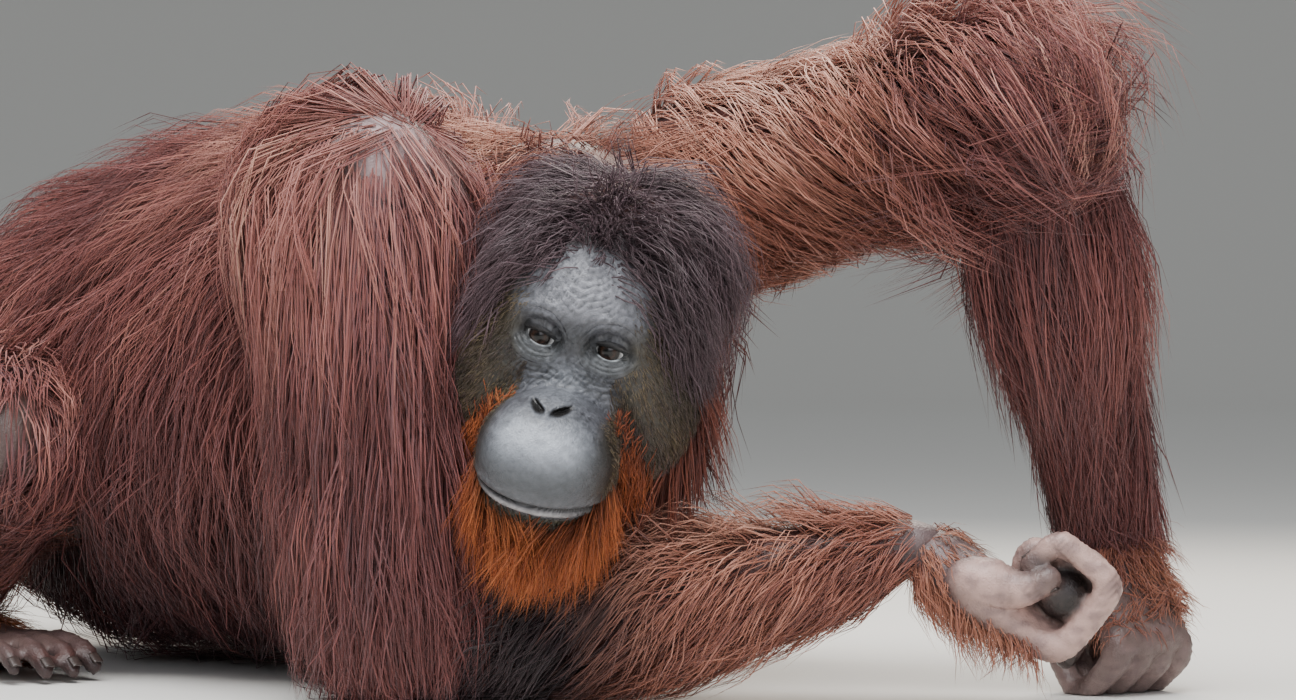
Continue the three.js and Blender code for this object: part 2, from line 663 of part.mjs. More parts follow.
function armLocks(side, upper, fore) {
  const { shoulder, elbow, wrist } = ARMS[side];
  const toElbow = elbow.clone().sub(shoulder).normalize();
  const fromWrist = elbow.clone().sub(wrist).normalize();
  if (side === 'right') {
    return {
      upper: coatOn('upper_arm_right', upper, {
        seed: SEEDS.upper_arm_right, from: -0.75, to: 0.55, rows: 3, around: 6,
        width: 64, thick: 8, droop: 0.3, lift: 0.16, rise: 30,
        length: ({ t }) => mix(240, 175, Math.max(t, 0)),
        flow: () => blended([toElbow, 1], [BACKWARD, 0.18], [DOWN, 0.5]),
      }),
      fore: coatOn('forearm_right', fore, {
        seed: SEEDS.forearm_right, from: 0.1, to: 0.98, rows: 3, around: 6, angles: [-60, 240],
        width: 48, thick: 8, droop: 0.25, lift: 0.14, rise: 18, loose: 10,
        length: ({ out }) => mix(130, 150, Math.max(-out.z, 0)),
        flow: () => blended([fromWrist, 1], [DOWN, 0.35]),
      }),
    };
  }
  return {
    upper: coatOn('upper_arm_left', upper, {
      seed: SEEDS.upper_arm_left, from: 0, to: 1.25, rows: 4, around: 6,
      width: 58, thick: 9, droop: 0.3, lift: 0.16, rise: 26, loose: 16,
      length: ({ t }) => mix(140, 175, Math.max(t, 0)),
      flow: ({ t, out }) => blended([toElbow, 1], [DOWN, t > 1 ? 1 : 0.1], [out, 0.2]),
    }),
    fore: coatOn('forearm_left', fore, {
      seed: SEEDS.forearm_left, from: 0.02, to: 0.86, rows: 3, around: 7,
      width: 46, thick: 8, droop: 0.3, lift: 0.3, rise: 24, loose: 30,
      length: ({ t }) => mix(190, 110, t),
      flow: () => blended([DOWN, 1], [V(1, 0, 0), 0.25]),
    }),
  };
}

const LEG_LOCK = { thick: 8, droop: 0.3, lift: 0.1, rise: 16, steps: 3 };
function legLocks(side, thigh, shank) {
  return {
    thigh: coatOn(`thigh_${side}`, thigh, {
      ...LEG_LOCK, seed: SEEDS[`thigh_${side}`], from: 0.1, to: 1, rows: 2, around: 5,
      width: 86, length: 115,
      flow: ({ ring }) => blended([ring.along, 0.5], [DOWN, 1]),
    }),
    shank: coatOn(`shank_${side}`, shank, {
      ...LEG_LOCK, seed: SEEDS[`shank_${side}`], from: 0.1, to: 0.9, rows: 2, around: 4,
      width: 66, length: 85,
      flow: ({ ring }) => blended([ring.along, 1], [DOWN, 0.5]),
    }),
  };
}

// Locks on the head: each grows where a way out from the head's inner point meets its skin
function headLock(way, flow, sizes) {
  const reach = headReach(way.clone().normalize(), 0, crownDistance);
  const at = HEAD_CORE.clone().addScaledVector(way.clone().normalize(), reach);
  const slope = [V(1, 0, 0), V(0, 1, 0), V(0, 0, 1)]
    .map((d) => crownDistance(at.clone().add(d)) - crownDistance(at.clone().sub(d)));
  return new Lock({
    node: 'head',
    root: onHead(at.x, at.y, at.z),
    out: V(...slope).transformDirection(HEAD_FRAME),
    flow: flow.clone().transformDirection(HEAD_FRAME),
    ...sizes,
  });
}

// The crown's hair parts along the middle and falls to each side over the temples
function crownLocks() {
  const locks = [];
  drawn = SEEDS.head;
  const ROWS = [{ y: -30, n: 3, back: 0.2 }, { y: 25, n: 2, back: 0.3 }, { y: 85, n: 2, back: 0.5 }];
  for (const way of [-1, 1]) {
    for (const { y, n, back } of ROWS) {
      for (let i = 0; i < n; i++) {
        const turn = THREE.MathUtils.degToRad(7 + i * 31 + draw(-3, 3));
        const root = V(way * Math.sin(turn), (y + draw(-6, 6)) / 150, Math.cos(turn));
        locks.push(headLock(root, V(way, back, -0.75), {
          width: 46, thick: 8, length: draw(92, 116), droop: 0.3, lift: 0.2, rise: 16,
          tier: i % 2, steps: 3, sway: draw(-0.1, 0.1),
        }));
      }
    }
  }
  return locks;
}

// The beard grows from cheek to cheek under the chin, down and a little forward
function beardLocks() {
  const locks = [];
  drawn = SEEDS.lower_jaw;
  const ROWS = [{ depth: 0, n: 7, length: 80 }, { depth: 34, n: 6, length: 94 }];
  for (const { depth, n, length } of ROWS) {
    for (let i = 0; i < n; i++) {
      const turn = mix(-1, 1, i / (n - 1)) + draw(-0.03, 0.03);
      const angle = turn * 1.4;
      const root = V(66 * Math.sin(angle), -56 * Math.cos(angle) + depth, -70 + 34 * turn * turn);
      locks.push(headLock(root, V(0.12 * turn, -0.35, -1), {
        width: 36, thick: 8, length: length * draw(0.9, 1.12), droop: 0.3, lift: 0.45, rise: 12, loose: 60,
        tier: i % 2, steps: 3, sway: draw(-0.15, 0.15),
      }));
    }
  }
  return locks;
}

// The nodes in the order that they are placed. A form is made twice, true and grown by the gap:
// each later node is cut clear of the grown forms of those before it.
const placed = [];

function meet(one, other) {
  const [a, b] = [one.boundingBox(), other.boundingBox()];
  return [0, 1, 2].every((axis) => a.min[axis] < b.max[axis] && b.min[axis] < a.max[axis]);
}

function place(name, colour, make, locks = [], room = null) {
  const dressed = (grow) => joined([make(grow), ...locks.map((lock) => lock.solid(grow))]);
  const whole = room ? dressed(0).subtract(room) : dressed(0);
  const cut = placed.filter((other) => meet(whole, other.clear))
    .reduce((form, other) => form.subtract(other.clear), whole);
  placed.push({ name, colour, form: largest(onFloor(cut)), clear: dressed(GAP) });
}

const COAT = 0x6b3a33;
const SKIN = 0x55504f;
const EYE = 0x2a1a12;
const HEAD_COAT = 0x453036;
const BEARD_COAT = 0xb4541c;
const SIDES = [['right', -1], ['left', 1]];

const limbs = {};
for (const [side, way] of SIDES) {
  const { upper, fore } = armLimbs(ARMS[side]);
  const { thigh, shank, ankle } = legLimbs(way);
  limbs[side] = { upper, fore, thigh, shank, sole: foot(way, ankle), hand: HANDS[side] };
  addOvals(`upper_arm_${side}`, upper);
  addOvals(`forearm_${side}`, fore);
  addOvals(`thigh_${side}`, thigh);
  addOvals(`shank_${side}`, shank);
}
addOvals('trunk', TRUNK);
addOvals('neck', NECK);
addHeadOvals();

const neckLocks = coatOn('neck', NECK, {
  seed: SEEDS.neck, from: 0.2, to: 0.9, rows: 1, around: 7,
  width: 70, thick: 8, droop: 0.3, lift: 0.12, rise: 14, steps: 3, length: 95,
  flow: ({ ring, out }) => blended([ring.along, -0.6], [DOWN, 1], [out, 0.1]),
});

const trunkTo = (forward) => (grow) => trimmed(
  TRUNK.solid(CORE_SHARE, grow),
  FORWARD.clone().negate(),
  onBody(forward + grow, 0, 0),
);
place('pelvis', COAT, trunkTo(ABDOMEN_FROM), trunkLocks({
  seed: SEEDS.pelvis, from: -0.5, to: 0.28, rows: 2, around: 8, length: 165,
}));
place('abdomen', COAT, trunkTo(CHEST_FROM), trunkLocks({
  seed: SEEDS.abdomen, from: 0.28, to: 0.58, rows: 2, around: 7, length: 180,
}));
place('chest', COAT, (grow) => TRUNK.solid(CORE_SHARE, grow), trunkLocks({
  seed: SEEDS.chest, from: 0.62, to: 1, rows: 2, around: 7, length: 190,
}));

for (const [side, way] of SIDES) place(`eye_${side}`, EYE, (grow) => eyeball(way, grow));

const crownSkin = (grow) => headSkin({ distance: crownDistance, grow });
function faceSkin(grow) {
  const lidded = joined([crownSkin(grow), lid(-1, grow), lid(1, grow), lip(1, grow)]);
  const face = trimmed(lidded, MOUTH_NORMAL, onHead(...MOUTH_MIDDLE).addScaledVector(MOUTH_NORMAL, -grow));
  return grow > 0 ? face : face.subtract(nostril(-1)).subtract(nostril(1));
}
place('head', HEAD_COAT, faceSkin, crownLocks());
place('lower_jaw', BEARD_COAT, (grow) => crownSkin(grow).add(lip(-1, grow)), beardLocks());
for (const [side, way] of SIDES) place(`ear_${side}`, SKIN, (grow) => ear(way, grow));
place('neck', COAT, (grow) => NECK.solid(CORE_SHARE, grow), neckLocks);

// Smooth room round the head that the upper arms' coats keep clear of
const HEAD_ROOM = { at: V(0, 62, -8), size: V(116, 150, 142) };
const headRoom = solidOf(
  new THREE.SphereGeometry(1, 16, 10)
    .scale(...HEAD_ROOM.size).translate(...HEAD_ROOM.at).applyMatrix4(HEAD_FRAME),
);

for (const [side] of SIDES) {
  const { upper, fore, hand } = limbs[side];
  const locks = armLocks(side, upper, fore);
  place(`upper_arm_${side}`, COAT, (grow) => upper.solid(CORE_SHARE, grow), locks.upper, headRoom);
  place(`forearm_${side}`, COAT, (grow) => fore.solid(CORE_SHARE, grow), locks.fore);
  place(`hand_${side}`, SKIN, (grow) => hand.pad.solid(CORE_SHARE, grow));
  place(`thumb_${side}`, SKIN, (grow) => hand.short.solid(0, grow));
  ['index', 'middle', 'ring', 'little'].forEach((name, i) => {
    place(`${name}_finger_${side}`, SKIN, (grow) => hand.long[i].solid(0, grow));
  });
}

for (const [side] of SIDES) {
  const { thigh, shank, sole } = limbs[side];
  const locks = legLocks(side, thigh, shank);
  place(`thigh_${side}`, COAT, (grow) => thigh.solid(CORE_SHARE, grow), locks.thigh);
  place(`shank_${side}`, COAT, (grow) => shank.solid(CORE_SHARE, grow), locks.shank);
  place(`foot_${side}`, SKIN, (grow) => sole.pad.solid(CORE_SHARE, grow));
  place(`big_toe_${side}`, SKIN, (grow) => sole.short.solid(0, grow));
  ['second', 'third', 'fourth', 'fifth'].forEach((name, i) => {
    place(`${name}_toe_${side}`, SKIN, (grow) => sole.long[i].solid(0, grow));
  });
}

// The finished group, with its origin on the floor under the middle of the animal
function meshOf({ name, form, colour }) {
  const facets = form.getMesh();
  const geometry = new THREE.BufferGeometry();
  geometry.setAttribute('position', new THREE.BufferAttribute(new Float32Array(facets.vertProperties), 3));
  geometry.setIndex(new THREE.BufferAttribute(new Uint32Array(facets.triVerts), 1));
  geometry.computeVertexNormals();
  const mesh = new THREE.Mesh(geometry, new THREE.MeshStandardMaterial({ color: colour, roughness: 0.7 }));
  mesh.name = name;
  return mesh;
}

const orangutan = new THREE.Group();
for (const node of placed) orangutan.add(meshOf(node));
const extent = new THREE.Box3().setFromObject(orangutan);
const centre = extent.getCenter(V());
orangutan.position.set(-centre.x, -centre.y, -extent.min.z);

export default orangutan;
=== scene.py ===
"""An adult orangutan at life size, crouched with one elbow on the floor, as a museum figure in studio light.

Shapes are worked out in the animal's own frame, in millimetres, +Z up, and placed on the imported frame
at the end. One skin carries the whole body, and the coat is grown over it in fine tapered tufts.
"""

import math

import bpy
import numpy as np
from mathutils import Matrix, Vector


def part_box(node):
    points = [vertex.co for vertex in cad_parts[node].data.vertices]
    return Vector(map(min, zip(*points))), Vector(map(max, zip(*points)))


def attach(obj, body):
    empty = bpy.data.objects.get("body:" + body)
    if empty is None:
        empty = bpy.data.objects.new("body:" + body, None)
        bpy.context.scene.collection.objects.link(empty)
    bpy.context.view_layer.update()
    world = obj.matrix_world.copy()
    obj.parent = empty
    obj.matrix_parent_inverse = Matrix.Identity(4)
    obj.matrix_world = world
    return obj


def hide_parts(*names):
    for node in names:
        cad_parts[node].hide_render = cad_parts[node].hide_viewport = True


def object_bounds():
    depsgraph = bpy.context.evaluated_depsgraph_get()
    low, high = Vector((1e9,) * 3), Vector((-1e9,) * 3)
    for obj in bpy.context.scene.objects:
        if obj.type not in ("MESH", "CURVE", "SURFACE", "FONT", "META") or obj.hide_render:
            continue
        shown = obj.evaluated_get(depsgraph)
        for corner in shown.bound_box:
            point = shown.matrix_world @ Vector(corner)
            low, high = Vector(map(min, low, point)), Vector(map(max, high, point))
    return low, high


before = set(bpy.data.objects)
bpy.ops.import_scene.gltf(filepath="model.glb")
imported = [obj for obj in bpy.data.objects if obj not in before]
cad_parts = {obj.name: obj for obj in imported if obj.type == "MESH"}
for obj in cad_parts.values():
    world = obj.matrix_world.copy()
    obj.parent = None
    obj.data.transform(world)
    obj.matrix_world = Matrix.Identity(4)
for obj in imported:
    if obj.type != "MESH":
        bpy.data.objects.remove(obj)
cad_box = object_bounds()
rng = np.random.default_rng(20117)


def unit(v):
    return v / np.maximum(np.linalg.norm(v, axis=-1, keepdims=True), 1e-9)


def mix(a, b, share):
    return a + (b - a) * share


def smooth(x, low, high):
    """0 under low, 1 over high, eased between."""
    s = np.clip((x - low) / (high - low), 0, 1)
    return s * s * (3 - 2 * s)


def bump(x, middle, spread):
    return np.exp(-(((x - middle) / spread) ** 2))


def dot(a, b):
    return np.sum(a * b, axis=-1, keepdims=True)


def turned(axis, degrees):
    """A turn about x, y or z as a 3 by 3 matrix."""
    c, s = math.cos(math.radians(degrees)), math.sin(math.radians(degrees))
    i, j = {"x": (1, 2), "y": (2, 0), "z": (0, 1)}[axis]
    m = np.eye(3)
    m[i, i] = m[j, j] = c
    m[i, j], m[j, i] = -s, s
    return m


def about(axis, angle, v):
    """v turned about an axis by an angle in radians."""
    return (v * math.cos(angle) + np.cross(axis, v) * math.sin(angle)
            + axis * np.dot(axis, v) * (1 - math.cos(angle)))


# Where the body stands
UP = np.array([0.0, 0, 1])
DOWN = -UP
HIPS = np.array([-430.0, 470, 0])
SPINE_TURN = math.radians(-45)
FORWARD = np.array([math.cos(SPINE_TURN), math.sin(SPINE_TURN), 0])
LEFTWARD = np.array([-FORWARD[1], FORWARD[0], 0])
BACKWARD = -FORWARD


def on_body(forward, left, height):
    return HIPS + FORWARD * forward + LEFTWARD * left + UP * height


# The head's own frame: x to its left, y backwards, z up, from the point between the pupils
EYES_AT = np.array([-54.0, -140, 270])
HEAD_TURN = turned("z", -10) @ turned("x", 8) @ turned("y", 13)
PUPIL_SPAN = 52
EYE_RADIUS = 11.5
EYE_DEPTH = 12.5


def on_head(points):
    return np.asarray(points, float) @ HEAD_TURN.T + EYES_AT


def head_way(directions):
    return np.asarray(directions, float) @ HEAD_TURN.T


def in_head(points):
    return (points - EYES_AT) @ HEAD_TURN


# The shift from the animal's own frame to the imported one, read from the two eyeballs
def eye_middle():
    corners = [np.array(corner) for side in ("left", "right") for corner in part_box("eye_" + side)]
    return np.mean(corners, axis=0) * 1000


SHIFT = eye_middle() - on_head([0, EYE_DEPTH, 0])


def placed(points):
    """Millimetres in the animal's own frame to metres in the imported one."""
    return (np.asarray(points, float) + SHIFT) / 1000


class Limb:
    """Oval rings along a smooth line through stations, with rounded ends.

    A station is its place, the half width and height of the flesh, and those of the coat.
    """

    def __init__(self, stations, up=UP):
        self.at = np.array([s[0] for s in stations], float)
        self.flesh = np.array([s[1] for s in stations], float)
        self.coat = np.array([s[2] for s in stations], float)
        self.up = np.asarray(up, float)

    def line(self, t):
        """Points and directions of the middle line, by a centripetal Catmull-Rom spline."""
        at, last = self.at, len(self.at) - 1
        place = np.clip(t, 0, 1) * last
        i = np.minimum(place.astype(int), last - 1)
        w = (place - i)[:, None]
        whole = np.vstack([2 * at[0] - at[1], at, 2 * at[-1] - at[-2]])
        p0, p1, p2, p3 = (whole[i + k] for k in range(4))
        gap = [np.linalg.norm(b - a, axis=1, keepdims=True) ** 0.5 for a, b in ((p0, p1), (p1, p2), (p2, p3))]
        t1 = ((p1 - p0) / gap[0] - (p2 - p0) / (gap[0] + gap[1]) + (p2 - p1) / gap[1]) * gap[1]
        t2 = ((p2 - p1) / gap[1] - (p3 - p1) / (gap[1] + gap[2]) + (p3 - p2) / gap[2]) * gap[1]
        c2, c3 = -3 * p1 + 3 * p2 - 2 * t1 - t2, 2 * p1 - 2 * p2 + t1 + t2
        return p1 + w * (t1 + w * (c2 + w * c3)), t1 + w * (2 * c2 + 3 * w * c3)

    def ring(self, t, share=0.0):
        t = np.atleast_1d(np.asarray(t, float))
        at, along = self.line(t)
        along = unit(along)
        last = len(self.at) - 1
        place = np.clip(t, 0, 1) * last
        i = np.minimum(place.astype(int), last - 1)
        w = place - i
        ease = (smooth(w, 0, 1) * 0.5 + w * 0.5)[:, None]
        sizes = mix(self.flesh, self.coat, share)
        size = mix(sizes[i], sizes[i + 1], ease)
        side = unit(np.cross(along, self.up))
        return dict(at=at, along=along, side=side, up=np.cross(side, along), w=size[:, :1], h=size[:, 1:])

    def surface(self, t, angle, share=0.0):
        """Points of the skin and the ways out: t under 0 or over 1 runs on round the end."""
        t = np.atleast_1d(np.asarray(t, float))
        ring = self.ring(t, share)
        past = np.where(t < 0, t, np.maximum(t - 1, 0))
        rise = (past * math.pi / 2)[:, None]
        c, s = np.cos(angle)[:, None], np.sin(angle)[:, None]
        out = unit(ring["side"] * c / ring["w"] + ring["up"] * s / ring["h"])
        out = out * np.cos(rise) + ring["along"] * np.sin(rise)
        reach = np.minimum(ring["w"], ring["h"])
        flat = ring["side"] * ring["w"] * c + ring["up"] * ring["h"] * s
        return ring, ring["at"] + flat * np.cos(rise) + ring["along"] * reach * np.sin(rise), out

    def shell(self, rows, sides, share=0.0):
        """A closed grid over the whole limb, both rounded ends included."""
        ends = np.sin(np.linspace(0.12, 0.5, 5) * math.pi)
        t = np.concatenate([-ends[::-1], np.linspace(0, 1, rows), 1 + ends])
        t = np.clip(t, -0.985, 1.985)
        angle = np.arange(sides) * 2 * math.pi / sides
        tt, aa = np.repeat(t, sides), np.tile(angle, len(t))
        return grid_shell(self.surface(tt, aa, share)[1].reshape(len(t), sides, 3))

    def ovals(self, count=12):
        """Ovals that stand for the flesh when hair is laid over it."""
        t = np.linspace(0, 1, count)
        ring = self.ring(t)
        space = np.linalg.norm(np.diff(ring["at"], axis=0), axis=1)
        space = np.append(space, space[-1])
        least = np.minimum(ring["w"], ring["h"])[:, 0]
        length = np.minimum(np.maximum(least, space * 1.3), space * 2)
        length[[0, -1]] = least[[0, -1]]
        axes = np.stack([ring["side"], ring["up"], ring["along"]], axis=1)
        return ring["at"], axes, np.column_stack([ring["w"], ring["h"], length])

    def draw_t(self, count, low, high):
        """Places along the limb, spread evenly over its skin."""
        t = np.linspace(low, high, 240)
        inside = np.clip(t, 0, 1)
        ring = self.ring(inside)
        step = np.linalg.norm(np.gradient(ring["at"], axis=0), axis=1)
        least = np.minimum(ring["w"], ring["h"])[:, 0]
        past = np.abs(t - inside)
        step = np.where(past > 0, least * (t[1] - t[0]) * math.pi / 2, step)
        area = step * (ring["w"] + ring["h"])[:, 0] * np.maximum(np.cos(past * math.pi / 2), 0.02)
        total = np.cumsum(area)
        return np.interp(rng.uniform(0, total[-1], count), total, t)


def grid_shell(rows):
    """Points and faces of rows of points closed round and capped by a point at each end."""
    n, sides = rows.shape[:2]
    points = np.vstack([rows.reshape(-1, 3), rows[0].mean(0), rows[-1].mean(0)])
    i, j = np.meshgrid(np.arange(n - 1), np.arange(sides), indexing="ij")
    k = (j + 1) % sides
    row, after = i * sides, (i + 1) * sides
    quads = np.stack([row + j, row + k, after + k, after + j], -1).reshape(-1, 4)
    a, b = np.arange(sides), (np.arange(sides) + 1) % sides
    first = np.stack([np.full(sides, n * sides), b, a], -1)
    last = np.stack([np.full(sides, n * sides + 1), (n - 1) * sides + a, (n - 1) * sides + b], -1)
    return outwards(points, [quads, first, last])


def outwards(points, faces):
    """A closed shell with its faces turned outwards."""
    volume = 0
    for f in faces:
        for k in range(1, f.shape[1] - 1):
            volume += np.sum(points[f[:, 0]] * np.cross(points[f[:, k]], points[f[:, k + 1]]))
    return points, faces if volume > 0 else [f[:, ::-1] for f in faces]


# The trunk: place along the spine, height, half width, half depth, depth of the coat
TRUNK = Limb([
    (on_body(forward, 0, height), (width, depth), (width + coat, depth + coat))
    for forward, height, width, depth, coat in [
        (-110, 212, 110, 95, 24),
        (-50, 215, 172, 155, 30),
        (60, 228, 198, 190, 34),
        (180, 240, 208, 200, 36),
        (300, 250, 205, 200, 38),
        (400, 268, 190, 182, 38),
        (470, 298, 160, 150, 34),
        (515, 322, 115, 112, 28),
    ]
])

NECK = Limb([
    (on_body(500, 0, 345), (95, 90), (120, 112)),
    (on_body(560, 0, 338), (82, 80), (104, 100)),
    (on_head([0, 105, -10]), (68, 74), (86, 90)),
])

# The arms: shoulder to elbow, then elbow to wrist
RIGHT_SHOULDER, RIGHT_ELBOW = on_body(490, -185, 385), np.array([-178.0, -30, 47])
RIGHT_WRIST = np.array([200.0, -62, 121])
LEFT_SHOULDER, LEFT_ELBOW = on_body(515, 170, 402), np.array([275.0, -53, 468])
LEFT_WRIST = np.array([362.0, 70, 122])


def arm(shoulder, elbow, wrist, up, fore_up, upper_coat, fore_coat):
    def station(at, w, h, coat, share):
        return at, (w, h), (w + coat[0] * share, h + coat[1] * share)

    upper = Limb([
        station(shoulder, 72, 76, upper_coat, 0.7),
        station(mix(shoulder, elbow, 0.35), 58, 62, upper_coat, 1),
        station(mix(shoulder, elbow, 0.7), 48, 52, upper_coat, 1),
        station(elbow, 42, 44, upper_coat, 0.35),
    ], up)
    fore = Limb([
        station(mix(elbow, wrist, 0.06), 40, 40, fore_coat, 0.1),
        station(mix(elbow, wrist, 0.3), 50, 48, fore_coat, 1),
        station(mix(elbow, wrist, 0.7), 36, 34, fore_coat, 1),
        station(wrist, 31, 24, fore_coat, 0.4),
    ], fore_up)
    return upper, fore


ARM_RIGHT, FORE_RIGHT = arm(
    RIGHT_SHOULDER, RIGHT_ELBOW, RIGHT_WRIST, (0.5, -1, 0), (0, 0, 1), (34, 50), (30, 30))
ARM_LEFT, FORE_LEFT = arm(
    LEFT_SHOULDER, LEFT_ELBOW, LEFT_WRIST, (0, 0, 1), (0, -1, 0.2), (62, 70), (45, 45))


# The legs, folded beside the belly
def leg(way):
    hip, knee = on_body(-5, way * 105, 205), on_body(150, way * 275, 190)
    ankle = on_body(-15, way * 232, 58)
    thigh = Limb([
        (hip, (92, 92), (112, 112)),
        (mix(hip, knee, 0.5), (76, 78), (98, 100)),
        (knee, (52, 54), (66, 68)),
    ])
    shank = Limb([
        (knee, (50, 48), (60, 58)),
        (mix(knee, ankle, 0.4), (46, 46), (64, 64)),
        (ankle, (32, 32), (44, 42)),
    ], (0.3, 0, 1))
    return thigh, shank, ankle


THIGH_RIGHT, SHANK_RIGHT, ANKLE_RIGHT = leg(-1)
THIGH_LEFT, SHANK_LEFT, ANKLE_LEFT = leg(1)


def digit(root, along, palm, lengths, bends, radius):
    """A finger or toe: three phalanges bent one after another towards the palm or sole."""
    across = unit(np.cross(along, palm))
    way, place = along.copy(), root.copy()
    points = [root - along * radius]
    joints = []
    for length, bend in zip(lengths, bends):
        way = about(across, math.radians(bend), way)
        joints.append((place.copy(), way.copy()))
        points.append(place + way * length * 0.12)
        place = place + way * length
        points.append(place - way * length * 0.12)
    sizes = [radius * mix(1, 0.74, i / (len(points) - 1)) for i in range(len(points))]
    limb = Limb([(at, (r, r), (r, r)) for at, r in zip(points, sizes)], across)
    limb.joints, limb.tip, limb.way, limb.across, limb.radius = joints, place, way, across, radius
    return limb


def extremity(root, along, palm, way, length, width, depth, spread, digits, first):
    """A hand or foot: its palm or sole, the first digit set apart, four long digits side by side."""
    across = unit(np.cross(along, palm)) * way

    def place(forward, side, up):
        return root + along * forward + across * side + palm * up

    pad = Limb([
        (place(0, 0, 0), (width[0], depth[0]), (width[0] + 6, depth[0] + 5)),
        (place(length * 0.45, 3, 0), (width[1], depth[1]), (width[1] + 6, depth[1] + 5)),
        (place(length * 0.86, 0, 0), (width[2], depth[2]), (width[2], depth[2])),
    ], palm)
    long = [digit(
        place(length, spread * (1.5 - i), 0),
        unit(along + across * digits["fan"] * (1.5 - i)), palm,
        [size * scale for size in digits["lengths"]],
        [bend * (1 + digits.get("tighten", 0) * i) for bend in digits["bends"]],
        digits["radius"] * (0.88 if i == 3 else 1),
    ) for i, scale in enumerate(digits["scale"])]
    short = digit(
        place(*first["at"]),
        unit(along * first["way"][0] + across * first["way"][1] + palm * first["way"][2]), palm,
        first["lengths"], first["bends"], first["radius"],
    )
    ball = Limb([
        (place(length - 20, spread * way, 37), (21, 19), (21, 19)) for way in (0.9, 0, -1.6)
    ], palm) if digits["curled"] else None
    return dict(pad=pad, long=long, short=short, palm=palm, along=along, across=across, root=root, ball=ball)


HAND = dict(width=(31, 43, 42), depth=(22, 21, 16), spread=22)
RIGHT_ALONG = unit(np.array([0.82, -0.08, -0.56]))
HAND_RIGHT = extremity(
    RIGHT_WRIST + RIGHT_ALONG * 20, RIGHT_ALONG, unit(np.array([0.56, -0.24, 0.79])), 1, length=108, **HAND,
    digits=dict(scale=(0.97, 1, 0.89, 0.74), fan=0.02, radius=11, lengths=(68, 52, 30), bends=(84, 90, 80),
                tighten=0.15, curled=True),
    first=dict(at=(34, 36, 12), way=(1, 0.15, 0.45), lengths=(22, 18, 16), bends=(0, 18, 24), radius=12),
)
HAND_LEFT = extremity(
    LEFT_WRIST + (3, -2, -14), unit(np.array([0.3, -0.42, -1])), unit(np.array([-0.55, 0.72, -0.47])), -1,
    length=84, **HAND,
    digits=dict(scale=(0.96, 1, 0.97, 0.86), fan=0.02, radius=10.8, lengths=(58, 44, 26), bends=(78, 88, 70),
                curled=False),
    first=dict(at=(30, 38, 6), way=(1, 0.5, 0.3), lengths=(22, 20, 16), bends=(0, 14, 16), radius=10.5),
)


def foot(way, ankle):
    along = unit(FORWARD + LEFTWARD * way * 0.12)
    root = ankle - along * 22
    root[2] = 26
    return extremity(
        root, along, DOWN, -way, length=150, width=(32, 36, 37), depth=(28, 24, 15), spread=21,
        digits=dict(scale=(0.92, 1, 0.98, 0.88), fan=0.03, radius=10.4, lengths=(42, 36, 24),
                    bends=(-6, 16, 30), curled=False),
        first=dict(at=(62, 32, 2), way=(0.72, 0.7, 0.12), lengths=(24, 22, 16), bends=(0, 8, 12), radius=11.5),
    )


FOOT_RIGHT, FOOT_LEFT = foot(-1, ANKLE_RIGHT), foot(1, ANKLE_LEFT)

# The head: a smooth blend of rounded masses, read outwards from one inner point
HEAD_CORE = np.array([0.0, 45, -50])
HEAD_MASSES = [
    ((0, 96, 40), (73, 92, 74)),  # skull
    ((0, 42, 22), (68, 50, 44)),  # forehead and brow
    ((0, 38, -14), (74, 38, 50)),  # middle of the face
    ((55, 50, -38), (37, 43, 58)),  # cheeks
    ((-54, 50, -38), (36, 42, 58)),
    ((0, -20, -80), (51, 60, 47)),  # muzzle
    ((0, 8, -103), (46, 62, 36)),  # chin
    ((0, 72, -90), (58, 58, 46)),  # throat
]
HEAD_BLEND = 18
SOCKETS = [((way * 27, -10, -1), (20, 22, 15)) for way in (-1, 1)]
SOCKET_BLEND = 9


def oval_distance(p, at, size):
    q = (p - np.asarray(at, float)) / np.asarray(size, float)
    far = np.linalg.norm(q, axis=1)
    slope = np.linalg.norm(q / np.asarray(size, float), axis=1)
    return far * (far - 1) / np.maximum(slope, 1e-6)


def blend_of(a, b, k):
    h = np.maximum(k - np.abs(a - b), 0) / k
    return np.minimum(a, b) - h * h * k / 4


def head_distance(p):
    d = oval_distance(p, *HEAD_MASSES[0])
    for mass in HEAD_MASSES[1:]:
        d = blend_of(d, oval_distance(p, *mass), HEAD_BLEND)
    for socket in SOCKETS:
        d = -blend_of(-d, oval_distance(p, *socket), SOCKET_BLEND)
    return d


def head_points(ways):
    """Points of the smooth head along ways out from its inner point."""
    outside = np.full(len(ways), 250.0)
    inside = np.zeros(len(ways))
    reach = outside.copy()
    found = np.zeros(len(ways), bool)
    for r in np.arange(244, 0, -6.0):
        hit = ~found & (head_distance(HEAD_CORE + ways * r) < 0)
        inside[hit], outside[hit] = r, r + 6
        found |= hit
        if found.all():
            break
    for _ in range(12):
        reach = (inside + outside) / 2
        deep = head_distance(HEAD_CORE + ways * reach[:, None]) < 0
        inside = np.where(deep, reach, inside)
        outside = np.where(deep, outside, reach)
    return HEAD_CORE + ways * reach[:, None]


def ways_of(polar, turn):
    """Ways out of the head: polar 0 faces forwards, turn 0 points to its left."""
    return np.column_stack([np.sin(polar) * np.cos(turn), -np.cos(polar), np.sin(polar) * np.sin(turn)])


# The face, cut into the smooth head: each term moves the skin out along its way, in millimetres
MOUTH_RISE = 0.17
MOUTH_Z = -112
MOUTH_TILT = -0.05  # a faint, uneven smile
NOSTRIL_AT = (8.8, -41.0)
NOSTRIL_TURN = 0.37
NOSTRIL_SIZE = (6.8, 2.3)


def mouth_height(p):
    """How far over the mouth's line a point of the muzzle is."""
    return p[:, 2] - (MOUTH_Z + MOUTH_RISE * (p[:, 1] + 82) + MOUTH_TILT * p[:, 0])


